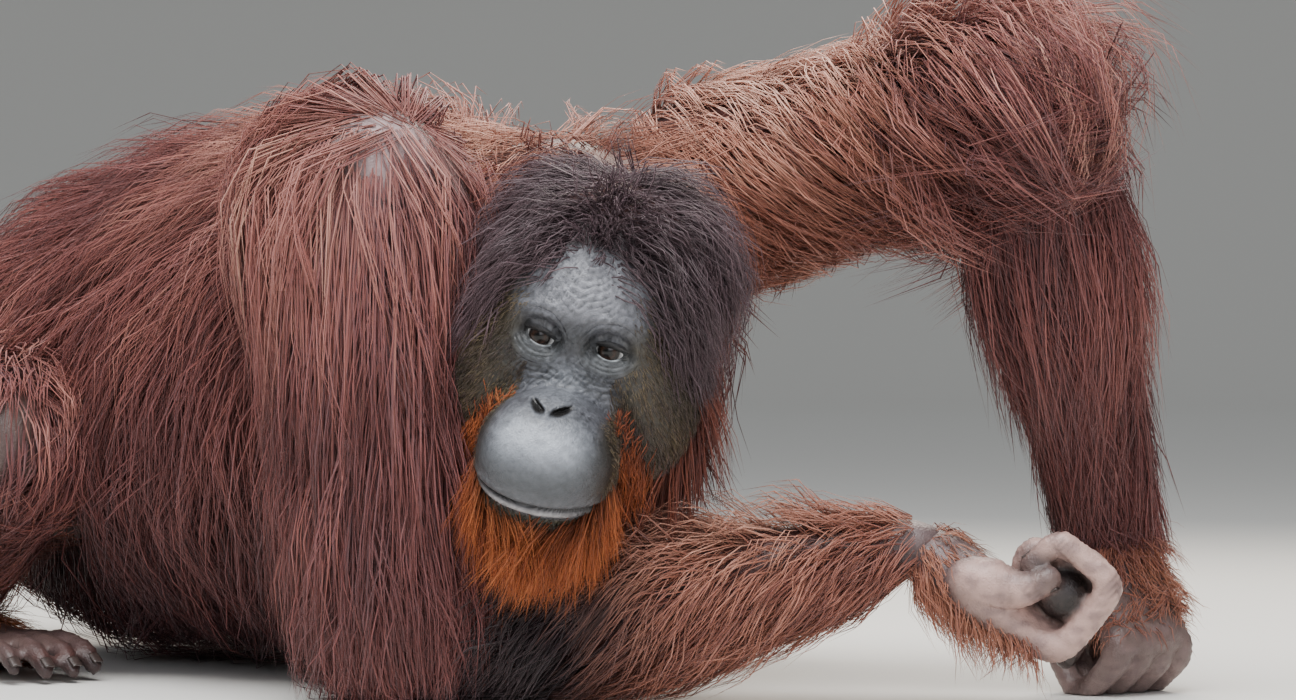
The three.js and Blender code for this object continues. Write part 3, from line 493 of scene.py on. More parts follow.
def along_nostril(side, z):
    """A point's place along and across the slit of the nostril on its side."""
    c, s = math.cos(NOSTRIL_TURN), math.sin(NOSTRIL_TURN)
    x, z = side - NOSTRIL_AT[0], z - NOSTRIL_AT[1]
    return (x * c + z * s) / NOSTRIL_SIZE[0], (z * c - x * s) / NOSTRIL_SIZE[1]


def on_muzzle(p):
    """0 in the middle of the smooth muzzle, 1 about its edge."""
    return np.linalg.norm((p - (0, -50, -80)) / (48, 50, 38), axis=1)


def hairline(local):
    """How far over the line where the crown's hair begins a point of the head is."""
    x, y, z = local.T
    edge = 69 - 42 * (np.abs(x) / 64) ** 2
    return np.where(y < 40, z - edge, 20 - np.maximum(0, 40 - np.abs(x)) * (z < -30))


def brow_creases(p):
    """Creases that run down from both sides and meet between the brows."""
    x, z = p[:, 0], p[:, 2]
    side = np.abs(x)
    wave = np.sin((z - side * 0.75) * 1.05 + 1.5 * np.sin(x * 0.23 + z * 0.11) + 0.8 * drift(p, 14, 44))
    return wave * (1 - smooth(side, 16, 36)) * smooth(z, 18, 30) * (1 - smooth(z, 60, 72))


def face_relief(p):
    x, y, z = p.T
    side = np.abs(x)
    front = smooth(-y, -60, -20)
    nose = smooth(-y, 18, 32)
    relief = 2.4 * bump(side, 0, 8) * smooth(z, -38, -24) * (1 - smooth(z, 0, 14))  # bridge of the nose
    relief += 3.4 * np.exp(-(((side - 10) / 8.5) ** 2) - ((z + 34.5) / 5) ** 2) * nose  # wings of the nose
    relief += 1.8 * bump(side, 0, 6) * bump(z, -48, 5) * nose
    along, across = along_nostril(side, z)
    relief -= 8.0 * np.exp(-(along ** 4) - across ** 2) * nose
    brow = bump(z, 21 - side * 0.1, 8) * smooth(side, 4, 18) * (1 - smooth(side, 44, 62))
    relief += 4.5 * brow * front  # brow ridge over each eye
    relief -= 2.4 * bump(side, 0, 5) * bump(z, 16, 10)  # notch between the brows
    aside = smooth(side, 9, 16) * (1 - smooth(side, 46, 56))
    bag = np.hypot((side - 27) * 0.82, z + 1)
    for below, depth in ((21.5, 0.9), (25, 1.1), (29.5, 0.8), (35, 0.5)):
        wavy = bag + 0.6 * np.sin(x * 0.45 + below)
        relief -= depth * bump(wavy, below, 1.1) * smooth(-z, 6, 14) * aside
    relief += 1.2 * bump(bag, 18, 4) * smooth(-z, 5, 12) * aside
    lip = mouth_height(p)
    mouth = front * smooth(-y, -10, 20) * (z < -60)
    middle = 1 - smooth(side, 20, 48)
    relief -= 4.0 * bump(lip, 0, 1.5) * mouth  # the line of the mouth
    relief += 1.2 * bump(lip, 4.5, 3.2) * mouth
    relief += (0.3 + 2.2 * middle) * bump(lip, -4.2, 1.6 + 1.6 * middle) * mouth  # the lower lip
    relief -= 1.6 * bump(lip, -11, 3.2) * mouth
    fold = np.hypot(x * 0.98, (z + 80) * 1.02)
    relief -= 3.0 * bump(fold, 60, 5) * smooth(side, 25, 40) * (1 - smooth(-z, 96, 112))  # beside the muzzle
    relief += 1.3 * brow_creases(p)
    nose_lines = np.sin(z * 1.25 + 2.0 * np.sin(x * 0.3 + z * 0.1))
    relief += 0.35 * nose_lines * bump(side, 12, 18) * bump(z, -22, 12)
    smoothed = 1 - 0.75 * (1 - smooth(on_muzzle(p), 0.85, 1.15))
    relief += 0.32 * np.sin(4.5 * drift(p, 9, 41)) * front * smoothed  # fine wrinkles all over
    return relief


HEAD_ROWS = 166
HEAD_SIDES = 276
FACE_TURN = 78  # degrees from straight ahead that most of the rows cover
FACE_SHARE = 0.78


def head_shell():
    s = (np.arange(HEAD_ROWS) + 1) / (HEAD_ROWS + 1)
    polar = np.where(s < FACE_SHARE, s / FACE_SHARE * FACE_TURN,
                     FACE_TURN + (180 - FACE_TURN) * (np.maximum(s - FACE_SHARE, 0) / (1 - FACE_SHARE)) ** 1.25)
    polar = np.radians(polar)
    turn = (np.arange(HEAD_SIDES) + 0.5) * 2 * math.pi / HEAD_SIDES
    pp, tt = np.repeat(polar, HEAD_SIDES), np.tile(turn, HEAD_ROWS)
    ways = ways_of(pp, tt)
    base = head_points(ways)
    relief = face_relief(base)
    for way in (-1, 1):
        ball = np.array([way * PUPIL_SPAN / 2, EYE_DEPTH, 0])
        far = np.hypot(base[:, 0] - ball[0], base[:, 2])
        relief -= 9 * (1 - smooth(far, EYE_RADIUS + 1.5, EYE_RADIUS + 6.5)) * (base[:, 1] < 30)
    return grid_shell((base + ways * relief[:, None]).reshape(HEAD_ROWS, HEAD_SIDES, 3))


# The lids: a grid round each eye, from inside the slit out to the skin of the socket
LID_SIDES = 96


def lid_shell(way):
    a = np.arange(LID_SIDES) * 2 * math.pi / LID_SIDES
    ball = np.array([way * PUPIL_SPAN / 2, EYE_DEPTH, 0])
    upper = smooth(np.sin(a), -0.25, 0.35)
    slit_x = 11.0 * np.cos(a)
    slit_z = mix(6.0, 3.5, upper) * np.sign(np.sin(a)) * np.abs(np.sin(a)) ** 1.1
    slit_z = slit_z + (0.07 * way - 0.13) * slit_x
    rows = []
    for share, lift in ((-0.06, -0.8), (-0.03, 0.3), (0, 0.9), (0.04, 1.3), (0.08, 1.5)):
        spread = 1 + share * 2
        rows.append(on_ball(ball, slit_x * spread, slit_z * spread, EYE_RADIUS + lift))
    margin = rows[-1]
    outer_x, outer_z = 23 * np.cos(a), 19.5 * np.sin(a) - 1
    outer = socket_skin(ball[0] + outer_x, outer_z)
    count = 18
    for i in range(1, count + 1):
        s = i / count
        row = mix(margin, outer, s)
        hollow = 3.4 * bump(s, 0.42, 0.2) - 1.0 * bump(s, 0.12, 0.08)
        belly = -1.5 * math.sin(math.pi * s) + 0.9 * bump(s, 0.34, 0.05) + 0.8 * bump(s, 0.6, 0.05)
        row[:, 1] += mix(belly, hollow, upper)
        skin_there = socket_skin(row[:, 0], row[:, 2])
        clear = mix(0.5, -1.2, smooth(s, 0.8, 1))
        row[:, 1] = np.minimum(row[:, 1], skin_there[:, 1] - clear)
        rows.append(row)
    return np.array(rows)


def on_ball(ball, x, z, radius):
    """Points on the front of a ball at an offset from its middle, held to its rim."""
    far = np.hypot(x, z)
    reach = np.minimum(far, radius * 0.985)
    depth = np.sqrt(radius ** 2 - reach ** 2)
    return np.column_stack([ball[0] + x, ball[1] - depth, ball[2] + z])


def socket_skin(x, z):
    """The carved skin straight ahead of a place on the face."""
    far = np.full(len(x), -120.0)
    near = np.full(len(x), 40.0)
    for _ in range(22):
        y = (far + near) / 2
        deep = head_distance(np.column_stack([x, y, z])) < 0
        near, far = np.where(deep, y, near), np.where(deep, far, y)
    p = np.column_stack([x, (far + near) / 2, z])
    return p + unit(p - HEAD_CORE) * face_relief(p)[:, None]


# Colours, as sRGB hex turned to linear
def linear(hex_colour):
    parts = [int(hex_colour[i:i + 2], 16) / 255 for i in (1, 3, 5)]
    return np.array([c / 12.92 if c <= 0.04045 else ((c + 0.055) / 1.055) ** 2.4 for c in parts])


def ramp(stops, share):
    """Colours along a list of hex stops, for an array of shares from 0 to 1."""
    table = np.array([linear(stop) for stop in stops])
    place = np.clip(share, 0, 1) * (len(stops) - 1)
    i = np.minimum(place.astype(int), len(stops) - 2)
    return mix(table[i], table[i + 1], (place - i)[:, None])


def paint(colours, hex_colour, share):
    """Lays a colour over others by a share for each point."""
    return mix(colours, linear(hex_colour), np.clip(share, 0, 1)[:, None])


def drift(p, size, seed=0):
    """A slow, smooth variation over space, about -1 to 1, with features of a size in millimetres."""
    waves = np.random.default_rng(seed)
    total = np.zeros(len(p))
    for _ in range(5):
        way = unit(waves.normal(size=3)) * 2 * math.pi / (size * waves.uniform(0.6, 1.7))
        total += np.sin(p @ way + waves.uniform(0, 6.28))
    return total / 2.6


# Meshes from arrays
def mesh_object(name, points, faces, colours=None, uv=None, extra=None):
    """A smooth-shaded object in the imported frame. faces is a list of index arrays, points are millimetres."""
    mesh = bpy.data.meshes.new(name)
    mesh.vertices.add(len(points))
    mesh.vertices.foreach_set("co", placed(points).astype(np.float32).ravel())
    faces = [f for f in faces if len(f)]
    corners = np.concatenate([f.ravel() for f in faces]).astype(np.int32)
    sizes = np.concatenate([np.full(len(f), f.shape[1]) for f in faces]).astype(np.int32)
    starts = np.concatenate([[0], np.cumsum(sizes)[:-1]]).astype(np.int32)
    mesh.loops.add(len(corners))
    mesh.loops.foreach_set("vertex_index", corners)
    mesh.polygons.add(len(sizes))
    mesh.polygons.foreach_set("loop_start", starts)
    mesh.polygons.foreach_set("loop_total", sizes)
    mesh.polygons.foreach_set("use_smooth", np.ones(len(sizes), bool))
    mesh.update(calc_edges=True)
    if colours is not None:
        layer = mesh.attributes.new("tint", "FLOAT_COLOR", "POINT")
        whole = np.column_stack([colours, np.ones(len(colours))]).astype(np.float32)
        layer.data.foreach_set("color", whole.ravel())
    for key, values in (extra or {}).items():
        layer = mesh.attributes.new(key, "FLOAT", "POINT")
        layer.data.foreach_set("value", np.asarray(values, np.float32))
    if uv is not None:
        layer = mesh.uv_layers.new(name="OFBake")
        layer.data.foreach_set("uv", uv[corners].astype(np.float32).ravel())
    piece = bpy.data.objects.new(name, mesh)
    bpy.context.scene.collection.objects.link(piece)
    return piece


def joined(shells):
    """Several shells of points and faces as one."""
    points, faces, count = [], [], 0
    for shell_points, shell_faces in shells:
        points.append(shell_points)
        faces += [f + count for f in shell_faces]
        count += len(shell_points)
    return np.vstack(points), faces


def merged(shells, voxel, smoothing):
    """Shells fused into one skin by a voxel remesh, then smoothed, as points and faces."""
    piece = mesh_object("draft", *joined(shells))
    remesh = piece.modifiers.new("remesh", "REMESH")
    remesh.mode = "VOXEL"
    remesh.voxel_size = voxel / 1000
    soften = piece.modifiers.new("soften", "SMOOTH")
    soften.factor = 0.5
    soften.iterations = smoothing
    graph = bpy.context.evaluated_depsgraph_get()
    mesh = bpy.data.meshes.new_from_object(piece.evaluated_get(graph), depsgraph=graph)
    points = np.empty(len(mesh.vertices) * 3, np.float32)
    mesh.vertices.foreach_get("co", points)
    corners = np.empty(len(mesh.loops), np.int32)
    mesh.loops.foreach_get("vertex_index", corners)
    sizes = np.empty(len(mesh.polygons), np.int32)
    mesh.polygons.foreach_get("loop_total", sizes)
    starts = np.concatenate([[0], np.cumsum(sizes)[:-1]])
    faces = [corners[starts[sizes == n][:, None] + np.arange(n)] for n in np.unique(sizes)]
    bpy.data.objects.remove(piece)
    bpy.data.meshes.remove(mesh)
    return points.reshape(-1, 3).astype(float) * 1000 - SHIFT, faces


def normals_of(points, faces):
    normals = np.zeros_like(points)
    for f in faces:
        a, b, c = points[f[:, 0]], points[f[:, 1]], points[f[:, 2]]
        n = np.cross(b - a, c - a)
        for k in range(f.shape[1]):
            np.add.at(normals, f[:, k], n)
    return unit(normals)


# Hands and feet: fused shells with the knuckles, creases and pads raised on them
def carved_extremity(part, voxel):
    digits = part["long"] + [part["short"]]
    shells = [part["pad"].shell(14, 28)] + [d.shell(30, 16) for d in digits]
    if part["ball"]:
        shells.append(part["ball"].shell(10, 20))
    points, faces = merged(shells, voxel, 3)
    normals = normals_of(points, faces)
    move = np.zeros(len(points))
    for d in digits:
        for i, (at, way) in enumerate(d.joints):
            far = np.linalg.norm(points - at, axis=1)
            reach = d.radius * (1.5 if i == 0 else 1.15)
            move += (1.8 if i else 2.4) * np.exp(-(far / reach) ** 2)
            along = dot(points - at, way)[:, 0]
            near = np.linalg.norm(points - at - along[:, None] * way, axis=1) < d.radius * 1.5
            for k in (-1, 0, 1):
                move -= near * 0.8 * bump(along, k * 3.6, 1.2) * (far < reach * 1.6)
    thenar = part["root"] + part["along"] * 38 + part["across"] * 28 + part["palm"] * 16
    move += 9.0 * np.exp(-(np.linalg.norm(points - thenar, axis=1) / 25) ** 2)
    move += 0.35 * np.sin(drift(points, 7, 3) * 5)
    points = points + normals * move[:, None]
    points[:, 2] = np.maximum(points[:, 2], 0.6)
    return points, faces


EXTREMITIES = {
    "hand_right": HAND_RIGHT, "hand_left": HAND_LEFT,
    "foot_right": FOOT_RIGHT, "foot_left": FOOT_LEFT,
}


# Ears: a small shell close to the side of the head, with a rolled rim and a cup
EAR_RISE = {1.0: 3.4, 0.93: 4.6, 0.82: 2.6, 0.7: 0.4, 0.5: -1.2, 0.28: -2.0}


def ear_shell(way):
    count = 36
    a = np.arange(count) * 2 * math.pi / count
    out = head_points(unit(np.array([[way * 80.0, 35, 46]])))[0]
    middle = np.array([out[0] + way * 4, 80, -4])
    rings = []
    for back, profile in ((True, (0.25, 0.6, 0.85, 0.98)), (False, (1.0, 0.93, 0.82, 0.7, 0.5, 0.28))):
        for r in profile:
            rise = -4 * (1 - r) if back else EAR_RISE[r]
            y, z = 14 * r * np.cos(a), 20 * r * np.sin(a) * (1 + 0.12 * np.cos(a))
            x = np.full(count, way * (rise if not back else -2.5 + rise * 0.4))
            rings.append(middle + np.column_stack([x, y, z]))
    points, faces = grid_shell(np.array(rings))
    return on_head(points), faces


# What lies where on the skin
THIN_SPOTS = [  # where the coat is thin over pale skin: place, radius, colour, share of the hair that is left
    ((-182, -66, 418), 46, "#8d7878", 0.4),
    ((128, 120, 425), 44, "#93766f", 0.5),
    ((-518, 125, 190), 55, "#574440", 0.8),
]


def skin_colours(points):
    """Grey, leathery skin: dark over the body, pink-grey on the palms, with a painted highlight on the upper
    muzzle and painted shade in the face's creases, eye sockets, nostrils and mouth and in the curled fist.
    """
    p = in_head(points)
    x, y, z = p.T
    side = np.abs(x)
    colours = ramp(["#3a211f", "#4a2c28", "#58352f"], 0.5 + 0.5 * drift(points, 120, 5))
    for at, radius, colour, _ in THIN_SPOTS:
        far = np.linalg.norm(points - at, axis=1) / radius + 0.12 * drift(points, 30, 6)
        colours = paint(colours, colour, 1 - smooth(far, 0.55, 1.15))
    head = (1 - smooth(np.linalg.norm(p - HEAD_CORE, axis=1), 135, 150))
    colours = paint(colours, "#2b1f23", head)
    front = head * smooth(-y, -75, -40)
    under_hair = smooth(hairline(p), -3, 5)
    face = front * (1 - under_hair)
    colours = paint(colours, "#45464b", face * (1 - smooth(side, 48, 66)))
    colours = paint(colours, "#302a1c", 0.9 * face * smooth(side, 32, 46) * (1 - smooth(z, 0, 26)))
    colours = paint(colours, "#2e271b", 0.8 * face * smooth(side, 44, 58))
    # Painted shadow in the fold between the beard and the cheek, beside the muzzle.
    gap = np.exp(-((side - 50) / 9) ** 2 - ((z + 66) / 24) ** 2)
    colours = paint(colours, "#14110c", 0.8 * face * gap)
    colours = paint(colours, "#75767c", 0.85 * face * bump(side, 0, 38) * smooth(z, 15, 27))
    colours = paint(colours, "#6d7177", 0.7 * face * bump(side, 0, 24) * bump(z, -26, 13))
    muzzle = 1 - smooth(on_muzzle(p), 0.7, 1.2)
    colours = paint(colours, "#414448", muzzle * front)
    # Painted highlight on the upper middle of the muzzle.
    colours = paint(colours, "#959aa2", muzzle * front * bump(z, -60, 17) * (1 - smooth(side, 20, 46)))
    lip = mouth_height(p)
    colours = paint(colours, "#55565a", front * bump(lip, 5, 7) * (1 - smooth(side, 40, 55)) * 0.6 * (z < -80))
    lower = smooth(-lip, 1, 2.5) * (1 - smooth(-lip, 6.5, 9)) * smooth(-y, 5, 25) * (z < -80)
    colours = paint(colours, "#8a8788", 0.9 * lower * front * (1 - smooth(side, 20, 46)))
    # Painted shade in the crease of the mouth.
    colours = paint(colours, "#121011", front * bump(lip, -0.2, 1.5) * (z < -80) * smooth(-y, 0, 20))
    colours = paint(colours, "#2b281f", front * smooth(-lip, 9.5, 13) * (z < -90))
    eye = np.hypot((side - 26) * 0.85, z + 1)
    above = smooth(z, -3, 5)
    # Painted shade over each eye, under the brow; below the eye the lid's own mid-grey.
    colours = paint(colours, "#131112", 0.92 * front * (1 - smooth(eye, 9, 18)) * above)
    colours = paint(colours, "#4b4e50", 0.8 * front * (1 - smooth(eye, 12, 22)) * (1 - above))
    # Painted shade in the inner and outer corners of each eye.
    colours = paint(colours, "#18191a", 0.9 * front * np.exp(-((side - 12) / 6.5) ** 2 - ((z - 1) / 7) ** 2))
    colours = paint(colours, "#141313", 0.8 * front * np.exp(-((side - 40) / 5) ** 2 - ((z + 1) / 5) ** 2))
    colours = paint(colours, "#2b2d2f", 0.7 * front * bump(side, 0, 9) * bump(z, 5, 9))
    # Painted shade in the creases of the bags under the eyes.
    for below in (21.5, 25, 29.5):
        arc = bump(eye * 0.98, below, 0.9) * smooth(-z, 6, 14) * smooth(side, 9, 16)
        colours = paint(colours, "#222324", 0.6 * front * arc)
    ball = np.linalg.norm(np.column_stack([side - PUPIL_SPAN / 2, y - EYE_DEPTH, z]), axis=1) - EYE_RADIUS
    rim = (1 - smooth(np.abs(side - PUPIL_SPAN / 2), 8, 10.5)) * (y < 8) * front
    # Painted shade where the lids meet the eyeball.
    colours = paint(colours, "#0d0b0b", rim * bump(ball, 1.0, 1.0) * (np.abs(z) < 9))
    colours = paint(colours, "#a4aaae", 0.9 * rim * bump(ball, 0.8, 0.5) * smooth(-z, 3, 4.5) * (z > -9))
    along, across = along_nostril(side, z)
    nostril = np.hypot(along * 0.9, across * 0.75)
    # Painted shade inside the nostrils.
    colours = paint(colours, "#0a0808", front * (1 - smooth(nostril, 0.7, 1.15)) * smooth(-y, 10, 30))
    # Painted light and shade along the fine wrinkles and the creases between the brows: lighter on their
    # ridges, darker in their grooves.
    creases = np.sin(4.5 * drift(p, 9, 41))
    lines = 0.28 * creases * face * (1 - 0.85 * muzzle)
    colours = colours * (1 + lines + 0.35 * brow_creases(p) * face)[:, None]
    mottled = drift(p, 5, 46) * drift(p, 7, 47)
    colours = colours * (1 + 0.3 * mottled * face * (1 - 0.6 * muzzle))[:, None]
    for name, part in EXTREMITIES.items():
        far = np.linalg.norm(points - (part["root"] + part["along"] * 80), axis=1)
        near = 1 - smooth(far, 130, 165)
        inner = smooth(dot(points - part["root"] - part["along"] * 60, part["palm"])[:, 0], -12, 12)
        back = "#54423e" if "hand" in name else "#4a3733"
        colours = paint(colours, back, near)
        colours = paint(colours, "#b3938a" if name == "hand_right" else "#7f6c68", near * (0.25 + 0.65 * inner))
        colours = paint(colours, "#6a5656", 0.5 * near * smooth(drift(points, 13, 12), 0.1, 0.9))
        wrist = 1 - smooth(np.linalg.norm(points - part["root"], axis=1), 34, 62)
        colours = paint(colours, "#4b4245", 0.8 * wrist)
        if part["ball"]:
            # Painted shade in the hollows at both ends of the curled fist.
            for end in part["ball"].at[[0, -1]]:
                hollow = 1 - smooth(np.linalg.norm(points - end, axis=1), 18, 27)
                colours = paint(colours, "#0a0707", hollow)
        for d in part["long"] + [part["short"]]:
            tip = np.linalg.norm(points - d.tip, axis=1)
            colours = paint(colours, "#2c2526", 0.75 * (1 - smooth(tip, 8, 24)))
            # Painted shade in the creases over the joints of the fingers and toes.
            for at, way in d.joints[1:]:
                place = dot(points - at, way)[:, 0]
                close = np.exp(-(np.linalg.norm(points - at, axis=1) / 16) ** 2)
                lines = sum(bump(place, k * 3.6, 1.3) for k in (-1, 0, 1))
                colours = paint(colours, "#4a3a39", 0.8 * close * lines)
    return np.clip(colours * (1 + 0.1 * drift(points, 9, 8))[:, None], 0, 1)


# One skin piece: the trunk and limbs fused, the head, lids, ears, hands and feet as closed shells set in
LIMBS = {
    "trunk": TRUNK, "neck": NECK,
    "upper_arm_right": ARM_RIGHT, "forearm_right": FORE_RIGHT,
    "upper_arm_left": ARM_LEFT, "forearm_left": FORE_LEFT,
    "thigh_right": THIGH_RIGHT, "shank_right": SHANK_RIGHT,
    "thigh_left": THIGH_LEFT, "shank_left": SHANK_LEFT,
}
DIGITS = ["index_finger", "middle_finger", "ring_finger", "little_finger", "thumb"]
TOES = ["second_toe", "third_toe", "fourth_toe", "fifth_toe", "big_toe"]
FLESH_NODES = ["pelvis", "abdomen", "chest", "neck", "head", "lower_jaw"] + [
    f"{part}_{side}"
    for side in ("right", "left")
    for part in ["ear", "upper_arm", "forearm", "hand", "thigh", "shank", "foot"] + DIGITS + TOES
]
BODY_VOXEL, HAND_VOXEL, FOOT_VOXEL = 12, 2.8, 5


def build_skin():
    body = merged([limb.shell(40, 40) for limb in LIMBS.values()], BODY_VOXEL, 8)
    body[0][:, 2] = np.maximum(body[0][:, 2], 0.6)
    head = head_shell()
    shells = [body, (on_head(head[0]), head[1])]
    for way in (-1, 1):
        rows = lid_shell(way)
        n, sides = rows.shape[:2]
        i, j = np.meshgrid(np.arange(n), np.arange(sides), indexing="ij")
        k, after = (j + 1) % sides, (i + 1) % n
        quads = np.stack([i * sides + j, i * sides + k, after * sides + k, after * sides + j], -1)
        shells.append(outwards(on_head(rows.reshape(-1, 3)), [quads.reshape(-1, 4)]))
        shells.append(ear_shell(way))
    for name, part in EXTREMITIES.items():
        shells.append(carved_extremity(part, HAND_VOXEL if "hand" in name else FOOT_VOXEL))
    points, faces = joined(shells)
    return mesh_object("skin", points, faces, skin_colours(points))


# Eyes: a ball with a domed cornea, its colour set by how far a point is from the middle of the pupil
def eyeball(way):
    rows, sides = 40, 48
    polar = np.linspace(0.02, math.pi - 0.05, rows)
    turn = np.arange(sides) * 2 * math.pi / sides
    pp, tt = np.repeat(polar, sides), np.tile(turn, rows)
    radius = EYE_RADIUS + 0.7 * bump(pp, 0, 0.42)
    local = ways_of(pp, tt) * radius[:, None]
    gaze = turned("x", 2) @ turned("z", -2)
    points = local @ gaze.T + (way * PUPIL_SPAN / 2, EYE_DEPTH, 0)
    shell_points, faces = grid_shell(points.reshape(rows, sides, 3))
    local = (shell_points - (way * PUPIL_SPAN / 2, EYE_DEPTH, 0)) @ gaze
    from_pupil = np.hypot(local[:, 0], local[:, 2] - 0.3)
    from_pupil[local[:, 1] > 0] = 14
    white = smooth(-local[:, 2], 5.4, 6.2)
    return on_head(shell_points), faces, from_pupil, white


# Nails: small curved plates at the ends of the digits
def nail_shell(d):
    back = unit(np.cross(d.way, d.across))
    u, v = np.meshgrid(np.linspace(-1, 1, 9), np.linspace(-1, 1, 9), indexing="ij")
    width, length, radius = 4.6, 5.2, d.radius * 0.76
    rows = []
    for lift in (-0.6, 0.7):
        spread = u * width * (1 - 0.12 * (v > 0) * v ** 2)
        rise = radius + lift - spread ** 2 / (2 * radius) * 0.9 + 0.25 * v
        rows.append(d.tip - d.way * 5 + d.across * spread[..., None] + d.way * (v * length)[..., None]
                    + back * rise[..., None])
    low, high = rows
    n = 9
    points = np.vstack([low.reshape(-1, 3), high.reshape(-1, 3)])
    i, j = np.meshgrid(np.arange(n - 1), np.arange(n - 1), indexing="ij")
    quad = np.stack([i * n + j, i * n + j + 1, (i + 1) * n + j + 1, (i + 1) * n + j], -1).reshape(-1, 4)
    rim = np.concatenate([np.arange(n), np.arange(1, n) * n + n - 1,
                          (n - 1) * n + np.arange(n - 1)[::-1], np.arange(1, n - 1)[::-1] * n])
    around = np.stack([rim, np.roll(rim, -1), np.roll(rim, -1) + n * n, rim + n * n], -1)
    return outwards(points, [quad, quad[:, ::-1] + n * n, around[:, ::-1]])


# The coat. Hair is laid over ovals that stand for the flesh of each part.
OVERS = []


def add_ovals(name, at, axes, sizes):
    for a, b, c in zip(at, axes, sizes):
        OVERS.append((name, a, b, c))


for limb_name, limb in LIMBS.items():
    add_ovals(limb_name, *limb.ovals())
for extremity_name, part in EXTREMITIES.items():
    add_ovals(extremity_name, *part["pad"].ovals(5))
    for d in part["long"] + [part["short"]]:
        add_ovals(extremity_name, *d.ovals(7))
head_axes = head_way(np.eye(3))
mass_at, mass_size = ([np.array(m[k], float) for m in HEAD_MASSES] for k in (0, 1))
add_ovals("head", [on_head(at) for at in mass_at], [head_axes] * len(HEAD_MASSES), mass_size)
OVER_NAMES = np.array([o[0] for o in OVERS])
OVER_AT, OVER_AXES, OVER_SIZES = (np.array([o[k] for o in OVERS], float) for k in (1, 2, 3))


def nearest(p, wanted):
    """How far each point is outside the nearest wanted oval, and which way is out there."""
    at, axes, sizes = OVER_AT[wanted], OVER_AXES[wanted], OVER_SIZES[wanted]
    q = np.einsum("nmk,mjk->nmj", p[:, None] - at[None], axes) / sizes
    far = np.linalg.norm(q, axis=2)
    slope = np.linalg.norm(q / sizes, axis=2)
    distance = far * (far - 1) / np.maximum(slope, 1e-6)
    best = np.argmin(distance, axis=1)
    n = np.arange(len(p))
    out = np.einsum("nj,njk->nk", (q / sizes)[n, best], axes[best])
    return distance[n, best], unit(out)


LAY_STEPS = 10
COAT_ROOM = np.array([12, 12, 5])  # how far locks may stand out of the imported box
COAT_LOW = np.array(cad_box[0]) * 1000 - SHIFT
COAT_HIGH = np.array(cad_box[1]) * 1000 - SHIFT
FLOOR_ROOM = 1.0


def inside_box(points, room):
    """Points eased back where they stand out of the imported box, and kept over the floor."""
    over, under = np.maximum(points - COAT_HIGH, 0), np.maximum(COAT_LOW - points, 0)
    points = points - over + room * (1 - np.exp(-over / room)) + under - room * (1 - np.exp(-under / room))
    points[..., 2] = np.maximum(points[..., 2], FLOOR_ROOM)
    return points


def lay(name, root, out, flow, length, depth, droop=0.3, lift=0.2, loose=6.0, sway=0.1, over=8.0):
    """Lines of hair that leave their roots, rise to their depth in the coat and follow the body."""
    own, others = OVER_NAMES == name, OVER_NAMES != name
    n = len(root)
    length, depth = (np.broadcast_to(v, n)[:, None] for v in (length, depth))
    way = unit(unit(flow - out * dot(flow, out)) + out * lift)
    across = unit(np.cross(way, out))
    bend = rng.normal(0, 1, (n, 1)) * sway
    phase = rng.uniform(0, 6.28, (n, 1))
    line = [root - out * 3]
    at = root.copy()
    for i in range(1, LAY_STEPS + 1):
        share = i / LAY_STEPS
        way = unit(way + DOWN * droop * 4 / LAY_STEPS + across * bend * np.sin(share * 5 + phase))
        before = at
        at = at + way * length / LAY_STEPS
        distance, facing = nearest(at, own)
        room = depth * min(1, share * 2.6) ** 0.8 + 1
        held = np.clip(distance[:, None], room, room + loose * share + depth * 0.3)
        at = at + facing * (held - distance[:, None])
        distance, aside = nearest(at, others)
        keep = 3 + over * share
        at = at + aside * np.maximum(keep - distance[:, None], 0)
        at = inside_box(at, COAT_ROOM)
        way = unit(at - before)
        line.append(at)
    return np.stack(line, 1)


def along_lines(lines, shares):
    """Points along each line at shares of its length, one row of shares for each line."""
    place = np.clip(shares, 0, 1) * (lines.shape[1] - 1)
    i = np.minimum(place.astype(int), lines.shape[1] - 2)
    w = (place - i)[..., None]
    rows = np.arange(len(lines))[:, None]
    return mix(lines[rows, i], lines[rows, i + 1], w)


TUFT_SHAPES = {  # where the rings of a tuft stand along it, and how wide it is there
    "long": ((0, 0.3, 0.66, 1), (0.8, 1, 0.75)),
    "short": ((0, 0.4, 0.75, 1), (0.85, 1, 0.6)),
    "fuzz": ((0, 0.5, 1), (0.9, 0.7)),
}
PATCH = 0.003  # side of a tuft's patch on the coat's map


